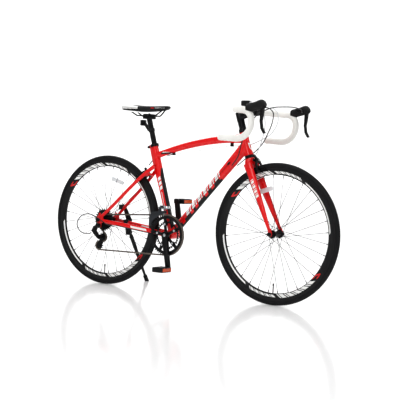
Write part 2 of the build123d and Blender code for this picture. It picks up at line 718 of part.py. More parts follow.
def seatpost():
    """Hollow post with a cradle, an upper clamp and the bolt that holds the rails."""
    top = seat(SEATPOST_TOP)
    post = rod(seat(SEATPOST_TOP - SEATPOST_LENGTH), top, SEATPOST_RADIUS)
    post -= rod(seat(SEATPOST_TOP - SEATPOST_LENGTH - 1), seat(SEATPOST_TOP - 20),
                SEATPOST_RADIUS - TUBE_WALL)
    width = 2 * RAIL_GAUGE + 14
    split = RAIL_HEIGHT
    post += Pos(top.X, 0, split - 8.2) * Box(40, width, 16)
    clamp = Pos(top.X, 0, split + 4.7) * Box(36, width, 9)
    bolt = rod((top.X, 0, split - 12), (top.X, 0, split + 9.2), 3)
    bolt += rod((top.X, 0, split + 9.2), (top.X, 0, split + 13), 5)
    for rail in rails():
        post -= rail
        clamp -= rail
    return group([biggest(post - bolt), biggest(clamp - bolt), bolt])


REFLECTOR_BAND = 543.0      # rear reflector clamp, up the seat tube


def rear_reflector():
    """Reflector on a bent arm from a band round the seatpost."""
    middle = seat(REFLECTOR_BAND + 7)
    band = tube(seat(REFLECTOR_BAND), seat(REFLECTOR_BAND + 14), SEATPOST_RADIUS + 3,
                SEATPOST_RADIUS)
    x, z = middle.X, middle.Z
    arm = side_plate([(x - 12, z - 6), (x - 12, z + 6), (x - 44, z + 42), (x - 50, z + 42),
                      (x - 50, z + 30), (x - 20, z - 6)], -6, 6)
    arm -= rod(seat(REFLECTOR_BAND - 9), seat(REFLECTOR_BAND + 40), SEATPOST_RADIUS + 3)
    lens = Pos(x - 55, 0, z + 36) * Box(10, 40, 30)
    lens = fillet(lens.edges().filter_by(Axis.X), 5)
    return group([band, biggest(arm), lens])


# ---------------------------------------------------------------- wheels
FLANGE_RADIUS = 20.0
FLANGE_HALF = 1.7
FRONT_FLANGES = (-35.2, 35.2)
REAR_FLANGES = (-17.0, 33.2)
NIPPLE = 12.0


def tyre(centre):
    """Tyre carcass, open where its beads sit in the rim."""
    section = Plane(origin=centre, x_dir=(0, 1, 0), z_dir=(1, 0, 0))
    radius = WHEEL_RADIUS - TYRE_SECTION
    face = Circle(TYRE_SECTION) - Circle(TYRE_SECTION - 2.8)
    face -= Pos(0, RIM_OUTER - radius - 20) * Rectangle(RIM_WIDTH + 4, 40)
    return revolve(section * Pos(0, radius) * face, Axis(centre, Y_AXIS))


def rim(centre):
    """Deep aero rim with flat brake tracks, open into the tyre."""
    half, wall = RIM_WIDTH / 2, 1.6
    track = RIM_OUTER - 14
    inner = RIM_INNER
    outline = [(half, RIM_OUTER), (half, track), (half - 3, inner + 9), (3, inner)]
    inside = [(2.2, inner + 2), (half - 3 - wall, inner + 10), (half - wall, track + 0.5),
              (half - wall, RIM_OUTER)]
    right = outline + [(-y, r) for y, r in reversed(outline)]
    left = [(-y, r) for y, r in reversed(inside)] + inside
    return turned(centre, right + left)


def spokes(centre, flanges):
    """Crossed spokes with their nipples, half on each flange."""
    pieces = []
    count = SPOKE_COUNT
    for k in range(count):
        side = k % 2
        lead = 1 if (k // 2) % 2 else -1
        angle = 2 * pi * (k + 0.5) / count
        hub_angle = angle + lead * SPOKE_CROSSES * 4 * pi / count
        stand = SPOKE_STAND * abs(flanges[side])
        head = flanges[side] + lead * (FLANGE_HALF + SPOKE_RADIUS + stand)
        low = FLANGE_RADIUS - 3
        rim_y = 2.0 * (1 if side else -1)
        start = centre + Vector(low * cos(hub_angle), head, low * sin(hub_angle))
        reach = RIM_INNER - 0.3
        end = centre + Vector(reach * cos(angle), rim_y, reach * sin(angle))
        run = (end - start).normalized()
        pieces.append(rod(start, end - run * NIPPLE, SPOKE_RADIUS))
        pieces.append(rod(end - run * NIPPLE, end, 2.0))
    return group(pieces)


def hub(centre, flanges, low, high):
    """Hub shell that runs on the axle between the lock nuts."""
    bore = AXLE_RADIUS + RUNNING
    a, b = flanges
    f = FLANGE_HALF
    outline = [(low, bore), (low, 9), (a - f, 11), (a - f, FLANGE_RADIUS), (a + f, FLANGE_RADIUS),
               (a + f + 2, 12), (b - f - 2, 12), (b - f, FLANGE_RADIUS), (b + f, FLANGE_RADIUS),
               (b + f, 11), (high, 9), (high, bore)]
    return turned(centre, outline)


def wheel_trim(centre, reflector_angle):
    """Valve stem with its cap, and the reflector between the spokes."""
    valve = rod(centre - Vector(0, 0, RIM_INNER - 0.3), centre - Vector(0, 0, RIM_INNER - 34), 2.8)
    cap = rod(centre - Vector(0, 0, RIM_INNER - 34), centre - Vector(0, 0, RIM_INNER - 46), 3.6)
    angle = radians(reflector_angle)
    out = Vector(cos(angle), 0, sin(angle))
    plane = Plane(origin=centre + out * 216 + Y_AXIS, x_dir=(0, 1, 0), z_dir=out)
    lens = plane * Box(4, 84, 22)
    lens = fillet(lens.edges().filter_by(Axis.Y), 8)
    return group([valve, cap, lens])


LEVER_LENGTH = 50.0
CAM_DEPTH = 13.0
CAM_PIVOT = 18.0            # from the dropout's outer face to the quick release pivot


def axle_set(centre, half, plate):
    """Hollow axle with lock nuts, the skewer through it, its nut and its cam housing."""
    def ring(low, high, outer, inner):
        start, end = centre + Y_AXIS * low, centre + Y_AXIS * high
        return tube(start, end, outer, inner)
    out = half + plate
    skewer = 2.5
    pieces = [ring(-out, out, AXLE_RADIUS, skewer + 0.2),
              ring(-half, -half + 2.6, 8.5, AXLE_RADIUS),
              ring(half - 2.6, half, 8.5, AXLE_RADIUS),
              ring(-out - 12, -out, 9.5, skewer),
              ring(out, out + CAM_DEPTH, 9.5, skewer),
              rod(centre - Y_AXIS * (out + 12), centre + Y_AXIS * (out + CAM_DEPTH), skewer)]
    return group(pieces)


def release_lever(centre, out, direction):
    """Quick release lever on the left end of a skewer."""
    direction = Vector(*direction).normalized()
    axis = direction.cross(Y_AXIS)
    pivot = centre + Y_AXIS * (out + CAM_PIVOT)
    body = rod(pivot - axis * 5, pivot + axis * 5, 4.6)
    end = pivot + direction * LEVER_LENGTH
    sections = []
    for share, width, thick in ((0.02, 8, 5), (0.4, 10, 5), (0.85, 14, 5), (1, 9, 3)):
        plane = Plane(origin=pivot + (end - pivot) * share, x_dir=axis, z_dir=direction)
        sections.append(plane * Ellipse(width / 2, thick / 2))
    return body + loft(sections)


# ---------------------------------------------------------------- drivetrain
def pitch_radius(teeth):
    """Radius of the circle that the chain's pins follow."""
    return PITCH / (2 * sin(pi / teeth))


def toothed(x, z, y, teeth, thickness):
    """A toothed disc with its middle plane at y."""
    radius = pitch_radius(teeth)
    points = []
    for k in range(teeth):
        for share, offset in ((-0.34, -4.2), (-0.1, 3.4), (0.1, 3.4), (0.34, -4.2)):
            angle = 2 * pi * (k + share) / teeth
            reach = radius + offset
            points.append((x + reach * cos(angle), z + reach * sin(angle)))
    return side_plate(points, y - thickness / 2, y + thickness / 2)


RING_THICK = 3.0
CRANK_Y = (61.0, 74.0)      # inner and outer face of a crank arm
ARM_COUNT = 5


def bolt_angles():
    """Angles of the chainring bolts, the first one clear of the right crank."""
    return [radians(-90 + CRANK_ANGLE + 36 + 72 * k) for k in range(ARM_COUNT)]


def bolt_places(radius):
    """Places on a circle round the bottom bracket, in the side view."""
    return [(BRACKET_X + radius * cos(a), BRACKET_Z + radius * sin(a)) for a in bolt_angles()]


def chainrings():
    """Big and small chainring, with five tabs each for the bolts."""
    rings = []
    for index, teeth in enumerate(RING_TEETH):
        y = CHAIN_Y + index * RING_STEP
        low, high = y - RING_THICK / 2, y + RING_THICK / 2
        inner = 82 if index == 0 else 59.5
        ring = toothed(BRACKET_X, BRACKET_Z, y, teeth, RING_THICK)
        ring -= across(BRACKET_X, BRACKET_Z, low - 1, high + 1, inner)
        for angle in bolt_angles():
            start = BRACKET + Vector(0, y, 0)
            out = Vector(cos(angle), 0, sin(angle))
            plane = Plane(origin=start + out * (BOLT_CIRCLE + inner) / 2, x_dir=(0, 1, 0),
                          z_dir=out)
            ring += plane * Box(RING_THICK, 17, inner - BOLT_CIRCLE + 3)
        for x, z in bolt_places(BOLT_CIRCLE):
            ring += across(x, z, low, high, 8.5)
        for x, z in bolt_places(BOLT_CIRCLE):
            ring -= across(x, z, low - 1, high + 1, 4)
        rings.append(ring)
    return group(rings)


def chainring_bolts():
    """Five bolts through the spider and both rings."""
    bolts = []
    for x, z in bolt_places(BOLT_CIRCLE):
        low = CHAIN_Y - RING_THICK / 2 - 5
        high = CHAIN_Y + RING_STEP + RING_THICK / 2
        bolt = across(x, z, low - 1.5, high + 1.2, 4)
        bolt += across(x, z, low - 1.5, low, 6)
        bolt += across(x, z, CHAIN_Y + RING_THICK / 2, CHAIN_Y + RING_STEP - RING_THICK / 2, 6)
        bolts.append(bolt)
    return group(bolts)


def crank_end(side):
    """Place of a pedal's axis, in the side view."""
    angle = radians(-90 + CRANK_ANGLE)
    reach = CRANK_LENGTH * (-side)
    return BRACKET_X + reach * cos(angle), BRACKET_Z + reach * sin(angle)


def crank_arm(side):
    """Tapered crank arm with bores for the spindle and the pedal."""
    inner, outer = CRANK_Y
    low, high = (inner, outer) if side > 0 else (-outer, -inner)
    x, z = crank_end(side)
    arm = across(BRACKET_X, BRACKET_Z, low, high, 18) + across(x, z, low, high, 13.5)
    away = Vector(x - BRACKET_X, 0, z - BRACKET_Z).normalized()
    wide = Vector(-away.Z, 0, away.X)
    start, end = Vector(BRACKET_X, 0, BRACKET_Z), Vector(x, 0, z)
    corners = [start + wide * 16.5, end + wide * 12, end - wide * 12, start - wide * 16.5]
    arm += side_plate([(p.X, p.Z) for p in corners], low, high)
    return arm, low, high


def right_crank():
    """Right arm with its five-armed spider."""
    arm, low, high = crank_arm(-1)
    spider_low = CHAIN_Y - RING_THICK / 2 - 5
    arm += across(BRACKET_X, BRACKET_Z, low, spider_low + 10, 18)
    for angle in bolt_angles():
        out = Vector(cos(angle), 0, sin(angle))
        centre = BRACKET + Vector(0, spider_low + 2.5, 0) + out * 35
        arm += Plane(origin=centre, x_dir=(0, 1, 0), z_dir=out) * Box(5, 15, 44)
    for x, z in bolt_places(BOLT_CIRCLE):
        arm += across(x, z, spider_low, spider_low + 5, 9)
    for x, z in bolt_places(BOLT_CIRCLE):
        arm -= across(x, z, spider_low - 1, spider_low + 6, 4)
    x, z = crank_end(-1)
    arm -= across(BRACKET_X, BRACKET_Z, low - 1, 0, SPINDLE_RADIUS)
    return arm - across(x, z, low - 1, high + 1, PEDAL_PIN)


def left_crank():
    """Left arm with a boss on its inner face."""
    arm, low, high = crank_arm(1)
    arm += across(BRACKET_X, BRACKET_Z, low - 12, low, 15)
    x, z = crank_end(1)
    arm -= across(BRACKET_X, BRACKET_Z, 0, high + 1, SPINDLE_RADIUS)
    return arm - across(x, z, low - 1, high + 1, PEDAL_PIN)


def crank_spindle():
    """Spindle through the bottom bracket, with a bolt in each end."""
    outer = CRANK_Y[1]
    body = across(BRACKET_X, BRACKET_Z, -outer + 6, outer - 6, SPINDLE_RADIUS)
    bolts = [across(BRACKET_X, BRACKET_Z, *sorted((s * (outer - 6), s * (outer - 1))), 8)
             for s in (-1, 1)]
    return group([body, *bolts])


PEDAL_PIN = 6.5
PEDAL_Y = CRANK_Y[1] + 12 + PEDAL_WIDTH / 2     # middle of a pedal


def pedal_spindles():
    """Two pedal spindles screwed into the cranks."""
    pins = []
    for side in (-1, 1):
        x, z = crank_end(side)
        low, high = CRANK_Y[0], PEDAL_Y + PEDAL_WIDTH / 2 - 8
        pins.append(across(x, z, *sorted((side * low, side * high)), PEDAL_PIN))
        low, high = CRANK_Y[1], CRANK_Y[1] + 4
        ring = across(x, z, *sorted((side * low, side * high)), 9)
        pins[-1] += ring
    return group(pins)


def pedal(side):
    """Resin platform pedal with a barrel, four windows and two reflectors."""
    x, z = crank_end(side)
    middle = side * PEDAL_Y
    length, width, height = PEDAL_LENGTH, PEDAL_WIDTH, PEDAL_HEIGHT
    body = Pos(x, middle, z) * Box(length, width, height)
    body = chamfer(body.edges().filter_by(Axis.Y), 4)
    for fore in (-1, 1):
        for half in (-1, 1):
            window = Box(14, width / 2 - 11, height + 2)
            body -= Pos(x + fore * 17.5, middle + half * (width / 4 - 1.5), z) * window
    low, high = sorted((side * CRANK_Y[1], side * (PEDAL_Y + width / 2 - 7.6)))
    body -= across(x, z, low, high, PEDAL_PIN + RUNNING)
    lenses = []
    for fore in (-1, 1):
        lens = Pos(x + fore * (length / 2 - 1.5), middle, z) * Box(3, width - 26, height - 13)
        body -= lens
        lenses.append(lens)
    return group([biggest(body), *lenses])


def sprockets():
    """Seven sprockets on the freewheel body."""
    inner = CHAIN_Y + SPROCKET_STEP * (len(SPROCKET_TEETH) - 1) + 1.4
    body = across(0, AXLE_Z, CHAIN_Y - 3, inner, 19)
    for index, teeth in enumerate(SPROCKET_TEETH):
        body += toothed(0, AXLE_Z, CHAIN_Y + index * SPROCKET_STEP, teeth, 1.8)
    return body - across(0, AXLE_Z, CHAIN_Y - 4, inner + 1, AXLE_RADIUS + RUNNING)


def chain_stops():
    """Centre, pitch radius and turning sense of each wheel that the chain passes."""
    guide_x, guide_z = GUIDE_PULLEY
    tension_x, tension_z = tension_place()
    return [((BRACKET_X, BRACKET_Z), pitch_radius(RING_TEETH[0]), 1),
            ((0, AXLE_Z), pitch_radius(SPROCKET_TEETH[0]), 1),
            ((guide_x, guide_z), pitch_radius(PULLEY_TEETH), -1),
            ((tension_x, tension_z), pitch_radius(PULLEY_TEETH), 1)]


CAGE_ANGLE = 243.0          # direction from the guide pulley to the tension pulley


def tension_place():
    """The tension pulley's axis, in the side view."""
    angle = radians(CAGE_ANGLE)
    return (GUIDE_PULLEY[0] + PULLEY_SPACING * cos(angle),
            GUIDE_PULLEY[1] + PULLEY_SPACING * sin(angle))


def chain_face(offset):
    """Face inside the chain's line, moved outwards by an offset."""
    stops = chain_stops()
    tangents = []
    for i, ((x1, z1), r1, s1) in enumerate(stops):
        (x2, z2), r2, s2 = stops[(i + 1) % len(stops)]
        a, b = s1 * (r1 + s1 * offset), s2 * (r2 + s2 * offset)
        length = hypot(x2 - x1, z2 - z1)
        normal = atan2(z2 - z1, x2 - x1) + acos((b - a) / length)
        n = (cos(normal), sin(normal))
        tangents.append(((x1 - a * n[0], z1 - a * n[1]), (x2 - b * n[0], z2 - b * n[1])))
    edges = []
    for i, ((x, z), radius, sense) in enumerate(stops):
        start = tangents[i - 1][1]
        end = tangents[i][0]
        reach = radius + sense * offset
        first = atan2(start[1] - z, start[0] - x)
        last = atan2(end[1] - z, end[0] - x)
        turn = (last - first) * sense % (2 * pi)
        middle = first + sense * turn / 2
        top = (x + reach * cos(middle), z + reach * sin(middle))
        points = [(px, 0, pz) for px, pz in (start, top, end)]
        edges.append(ThreePointArc(*points))
        edges.append(Line((end[0], 0, end[1]), (tangents[i][1][0], 0, tangents[i][1][1])))
    return make_face(edges)


def chain():
    """The chain's two rows of plates, as closed bands on either side of the teeth."""
    bands = []
    ring = extrude(chain_face(4.2), amount=1.5, dir=(0, 1, 0))
    ring -= extrude(chain_face(-4.2), amount=1.5, dir=(0, 1, 0))
    for low in (CHAIN_Y - 3.3, CHAIN_Y + 1.8):
        bands.append(Pos(0, low, 0) * ring)
    return group(bands)


FRONT_CAGE_PIVOT = Vector(BRACKET_X - 54.0, -33.0, BRACKET_Z + 141.0)


def front_derailleur():
    """Clamp band on the seat tube with the arm that carries the cage."""
    low = DERAILLEUR_BAND - 7
    band = rod(seat(low), seat(low + 14), SEAT_TUBE_RADIUS + 3.5) - seat_tube_outside()
    x, y, z = FRONT_CAGE_PIVOT.X, FRONT_CAGE_PIVOT.Y, FRONT_CAGE_PIVOT.Z
    arm = Pos(x + 4, -23, z - 6) * Box(30, 14, 16)
    arm += rod((x - 11, y + 6, z), (x + 19, y + 6, z), 5)
    arm -= rod(seat(low - 20), seat(low + 40), SEAT_TUBE_RADIUS + 3.5)
    arm -= seat_tube_outside()
    arm -= Pos(x + 4, y, z) * Box(17, 13, 60)
    pin = rod((x - 11, y, z), (x + 19, y, z), 2)
    ears = Pos(x - 8, y + 3, z) * Box(6, 10, 9) + Pos(x + 16, y + 3, z) * Box(6, 10, 9)
    return group([*biggest(band).solids(), *(arm + ears + pin).solids()])


def front_cage():
    """Two cage plates joined over and behind the chain, with the arm to the pivot."""
    bx, bz = BRACKET_X, BRACKET_Z
    ring = pitch_radius(RING_TEETH[0]) + 7
    outline = [(bx - 10, bz + 122), (bx - 96, bz + 112), (bx - 110, bz + 84),
               (bx - 110, bz + 40), (bx - 88, bz + 40), (bx - 10, bz + 104)]
    plates = []
    for low, high in ((CHAIN_Y - 6.5, CHAIN_Y - 5), (CHAIN_Y + 5, CHAIN_Y + 6.5)):
        plates.append(side_plate(outline, low, high) - across(bx, bz, low - 1, high + 1, ring))
    bridge_low, bridge_high = CHAIN_Y - 6.5, CHAIN_Y + 6.5
    cage = plates[0] + plates[1]
    cage += side_plate([(bx - 70, bz + 115), (bx - 30, bz + 119.6), (bx - 30, bz + 116),
                        (bx - 70, bz + 111.4)], bridge_low, bridge_high)
    cage += side_plate([(bx - 110, bz + 58), (bx - 107, bz + 58), (bx - 107, bz + 44),
                        (bx - 110, bz + 44)], bridge_low, bridge_high)
    x, y, z = FRONT_CAGE_PIVOT.X, FRONT_CAGE_PIVOT.Y, FRONT_CAGE_PIVOT.Z
    arm = Pos(x + 4, y, z) * Box(15, 9, 9)
    arm += Pos(x + 4, (y + bridge_high) / 2 - 4, z - 6) * Box(15, abs(bridge_high - y) + 8, 5)
    arm += Pos(x + 4, bridge_high - 3, z - 16) * Box(15, 6, 24)
    cage += arm
    return biggest(cage - rod((x - 30, y, z), (x + 30, y, z), 2 + RUNNING))


CAGE_GAP = 6.0              # from the chain's plane to each cage plate


def rear_derailleur():
    """Hanger bolt, upper knuckle, slanted body and lower knuckle."""
    gx, gz = GUIDE_PULLEY
    hanger_low = -DROPOUT_Y - DROPOUT_THICKNESS / 2
    bolt = across(HANGER.X, HANGER.Z, hanger_low - 18, -DROPOUT_Y + 2, 5)
    upper = across(HANGER.X, HANGER.Z, hanger_low - 16, hanger_low - 0.2, 12)
    outer = CHAIN_Y - CAGE_GAP - 2
    lower = across(gx - 4, gz + 2, outer - 24, outer - GAP, 12)
    link_y = (hanger_low - 16, hanger_low - 6)
    link = side_plate([(HANGER.X + 6, HANGER.Z + 8), (HANGER.X - 26, HANGER.Z - 4),
                       (HANGER.X - 38, HANGER.Z - 30), (gx - 14, gz - 6), (gx + 6, gz - 6),
                       (HANGER.X - 8, HANGER.Z - 26)], *link_y)
    body = upper + link + lower
    body -= across(gx, gz, outer - 30, outer + 5, 5 + RUNNING)
    return group([biggest(body - bolt), bolt])


def derailleur_cage():
    """Two cage plates with the pulley bolts and the pivot stub."""
    gx, gz = GUIDE_PULLEY
    tx, tz = tension_place()
    pieces = None
    for low, high in ((CHAIN_Y - CAGE_GAP - 2, CHAIN_Y - CAGE_GAP),
                      (CHAIN_Y + CAGE_GAP, CHAIN_Y + CAGE_GAP + 2)):
        plate = across(gx, gz, low, high, 13) + across(tx, tz, low, high, 11)
        run = Vector(tx - gx, 0, tz - gz).normalized()
        wide = Vector(-run.Z, 0, run.X)
        corners = [Vector(gx, 0, gz) + wide * 11, Vector(tx, 0, tz) + wide * 9,
                   Vector(tx, 0, tz) - wide * 9, Vector(gx, 0, gz) - wide * 11]
        plate += side_plate([(p.X, p.Z) for p in corners], low, high)
        pieces = plate if pieces is None else pieces + plate
    for x, z in ((gx, gz), (tx, tz)):
        pieces += across(x, z, CHAIN_Y - CAGE_GAP - 1, CHAIN_Y + CAGE_GAP + 1, 2.5)
    return pieces + across(gx, gz, CHAIN_Y - CAGE_GAP - 20, CHAIN_Y - CAGE_GAP - 1, 5)


def pulley(place):
    """Jockey wheel that runs on its bolt between the cage plates."""
    x, z = place
    wheel = toothed(x, z, CHAIN_Y, PULLEY_TEETH, 2.4)
    wheel += across(x, z, CHAIN_Y - CAGE_GAP + GAP, CHAIN_Y + CAGE_GAP - GAP, 8)
    return wheel - across(x, z, CHAIN_Y - CAGE_GAP, CHAIN_Y + CAGE_GAP, 2.5 + RUNNING)


# ---------------------------------------------------------------- brakes
PAD_GAP = 1.7
PAD_THICK = 9.0
ARM_THICK = 7.0
BRAKE_FACE = 33.0           # from the bolt's datum to the back of the first arm


def brake_frames():
    """Bolt place, outward axis and drop to the brake track, front and rear."""
    track = RIM_OUTER - 8.5
    rear = brake_bridge_centre()
    return {
        "front": (steer(BRAKE_REACH_LINE), STEER_FORE, STEER_DIR, BRAKE_REACH_LINE - track),
        "rear": (rear, seatstay_across(), -seatstay_down(), BRAKE_BRIDGE_REACH - track),
    }


def seatstay_down():
    """Direction down the seatstays in the side view."""
    top, low = seatstay_line(0)
    return (low - top).normalized()


def brake_face(end):
    """How far in front of its datum a brake's first arm sits."""
    return BRAKE_FACE if end == "front" else 10.0


def brake_arm(end, side):
    """One arm with its pad; side is the rider's left (1) or right (-1)."""
    origin, axis, up, drop = brake_frames()[end]
    layer = brake_face(end) + (0 if side > 0 else ARM_THICK + GAP)
    plane = Plane(origin=origin + axis * layer, x_dir=up.cross(axis), z_dir=axis)
    hand = 1 if up.cross(axis).Y > 0 else -1
    s = side * hand
    pad_x = RIM_WIDTH / 2 + PAD_GAP
    cable = (-34 * hand, 6) if side > 0 else (-34 * hand, 26)
    limb = Polyline((s * -6, -8), (s * 12, -9), (s * 22, -18), (s * 24, -drop - 6),
                    (s * 33, -drop - 6), (s * 35, -20), (s * 27, 2), (s * 6, 9), (s * -6, 8),
                    close=True)
    arm = extrude(plane * make_face(limb), amount=ARM_THICK)
    reach = Vector(cable[0], cable[1], 0)
    across_reach = Vector(-reach.Y, reach.X, 0).normalized() * 6
    horn = [across_reach, reach + across_reach, reach - across_reach, across_reach * -1]
    arm += extrude(plane * make_face(Polyline(*[(p.X, p.Y) for p in horn], close=True)),
                   amount=ARM_THICK)
    arm += plane * Pos(0, 0, ARM_THICK / 2) * Cylinder(10, ARM_THICK)
    arm -= plane * Cylinder(3 + RUNNING, 60)
    pad_centre = origin + axis * pad_station(end) - up * drop
    hold = Plane(origin=pad_centre, x_dir=up.cross(axis), z_dir=axis)
    pad = hold * Pos(s * (pad_x + PAD_THICK / 2), 0, 0) * Box(PAD_THICK, 11, 48)
    stud = hold * Pos(s * (pad_x + PAD_THICK + 5), 0, 0) * Cylinder(
        4, 14, rotation=(0, 90, 0))
    near = min(0, layer - pad_station(end))
    far = max(0, layer + ARM_THICK - pad_station(end))
    foot = hold * Pos(s * 28.5, 0, (near + far) / 2) * Box(9, 12, far - near)
    return group([arm + foot + stud - pad, pad])


def pad_station(end):
    """How far in front of its datum the middle of a brake's pads sits."""
    return 52.0 if end == "front" else 16.0


def brake_bolt(end):
    """Centre bolt with a washer behind the arms and a nut on each end."""
    origin, axis, _, _ = brake_frames()[end]
    face = brake_face(end)
    top = face + 2 * ARM_THICK + GAP
    back = -24 if end == "front" else -12
    bolt = rod(origin + axis * back, origin + axis * (top + 6), 3)
    bolt += rod(origin + axis * (top + GAP), origin + axis * (top + 6), 5.5)
    bolt += rod(origin + axis * (face - 1.9), origin + axis * (face - GAP), 8)
    bolt += rod(origin + axis * (back - 6), origin + axis * back, 5)
    return bolt


# ---------------------------------------------------------------- kickstand
STAND_PLATE = (80.0, 86.0)
LEG_RADIUS = 7.0


def stand_axis():
    """Unit vectors down the leg, towards the folded leg, and along the hinge."""
    pivot = Vector(*STAND_PIVOT)
    foot = Vector(STAND_FOOT[0], STAND_FOOT[1], 22.0)
    down = (foot - pivot).normalized()
    folded = Vector(-1, 0.04, 0.12).normalized()
    hinge = folded.cross(down).normalized()
    return down, folded, hinge


def stand_bracket():
    """Plate clamped to the left stays, with the hinge pin for the leg."""
    low, high = STAND_PLATE
    outline = [(34, 428), (58, 412), (102, 344), (104, 300), (92, 262), (68, 262), (62, 300),
               (66, 340)]
    plate = side_plate(outline, low, high)
    for x, z, reach in ((48, 408, 13), (86, 331, 15)):
        plate += Pos(x, (low + 52) / 2, z) * Box(2 * reach, low - 52, 26)
    plate -= lofted(chainstay_stations(1)) + lofted(seatstay_stations(1))
    _, _, hinge = stand_axis()
    pivot = Vector(*STAND_PIVOT)
    pin = rod(pivot - hinge * 12, pivot + hinge * 21, 4)
    return group([*biggest(plate - pin).solids(), pin])


def stand_leg():
    """Leg with its hinge eye and rubber foot."""
    down, _, hinge = stand_axis()
    pivot = Vector(*STAND_PIVOT)
    length = (Vector(STAND_FOOT[0], STAND_FOOT[1], 22.0) - pivot).length
    eye = rod(pivot - hinge * 7, pivot + hinge * 7, 11)
    leg = eye + rod(pivot, pivot + down * length, LEG_RADIUS)
    leg -= rod(pivot - hinge * 20, pivot + hinge * 20, 4 + RUNNING)
    foot = rod(pivot + down * (length - 26), pivot + down * (length + 14), 11)
    return group([leg - foot, foot])


# ---------------------------------------------------------------- cables
HOUSING_RADIUS = 2.5
WIRE_RADIUS = 0.8


def cable(points, radius):
    """A cable through its points, with each bend as wide as its runs allow."""
    corners = [Vector(*point) for point in points]
    radii = []
    for before, here, after in zip(corners, corners[1:], corners[2:]):
        first, second = here - before, after - here
        turn = radians(first.get_angle(second))
        radii.append(0.45 * min(first.length, second.length) / tan(turn / 2))
    return swept(points, radii, radius)


# Routes of the cables at the bar, each point measured forward of the front axle, to the left
# and above the floor.
REAR_BRAKE_HOUSING = [(-131, 57, 927), (-93, 60, 941), (-53, 52, 918), (-43, 42, 868),
                      (-72, 36, 816), (-128, 33, 782), (-188, 28, 758), (-232, 13, 751),
                      (-258.5, 0, 750)]
LEFT_SHIFT_HOUSING = [(6, LEVER_SIDE - 20, 926), (22, LEVER_SIDE - 60, 938), (20, 90, 945),
                      (2, 20, 943), (-28, -50, 933), (-63, -112, 898), (-112, -118, 838),
                      (-160, -88, 762), (-204, -46, 696), (-248, -24.5, 655)]
RIGHT_SHIFT_HOUSING = [(6, 20 - LEVER_SIDE, 926), (22, 48 - LEVER_SIDE, 926), (24, -120, 908),
                       (-8, -70, 862), (-60, -20, 810), (-114, 24, 762), (-168, 40, 720),
                       (-210, 36, 690), (-248, 24.5, 655)]
FRONT_BRAKE_HOUSING = [(-144, -58, 934), (-98, -72, 946), (-56, -72, 912), (-48, -62, 862),
                       (-66, -46, 800), (-92, -36, 742), (-111, -34, 708)]
# Routes of the cables at the back, measured from the rear axle's foot.
REAR_BRAKE_LOOP = [(406, 0, 697), (372, 8, 690), (338, 26, 694), (300, 36, 690),
                   (262, 36, 668), (232, 38, 636)]
DERAILLEUR_LOOP = [(104, -66, 311), (66, -80, 318), (28, -98, 346), (-30, -104, 372),
                   (-90, -104, 360), (-124, -102, 312), (-98, -98, 268), (-50, -86, 262),
                   (-34, -83, 270)]


def bar_cable(route):
    """A housing at the bar, from its route ahead of the front axle."""
    return cable([(WHEELBASE + x, y, z) for x, y, z in route], HOUSING_RADIUS)


def control_cables():
    """Housings that run from the bar to the frame and bend as the bar turns."""
    return group([bar_cable(route) for route in
                  (REAR_BRAKE_HOUSING, LEFT_SHIFT_HOUSING, RIGHT_SHIFT_HOUSING)])


def frame_cables():
    """Bare wires along the tubes, and the two housings at the back of the frame."""
    run = (DOWN_TUBE_HEAD - DOWN_TUBE_FOOT).normalized()
    length = (DOWN_TUBE_HEAD - DOWN_TUBE_FOOT).length
    wires = []
    for side in (-1, 1):
        low, high = (DOWN_TUBE_FOOT + run * share + Vector(0, side * 24, 0)
                     for share in (70, length * 0.8 - 9))
        wires.append(rod(low, high, WIRE_RADIUS))
    wires.append(rod((WHEELBASE - 277, 0, 750), (424, 0, 698), WIRE_RADIUS))
    wires.append(rod((404, -16, 266), (105, -62, 309), WIRE_RADIUS))
    wires.append(cable(REAR_BRAKE_LOOP, HOUSING_RADIUS))
    wires.append(cable(DERAILLEUR_LOOP, HOUSING_RADIUS))
    return group(wires)


# ---------------------------------------------------------------- the whole bicycle
FRONT_LEVER_AIM = (-0.8, 0, 0.6)
REAR_LEVER_AIM = (-0.92, 0, 0.39)


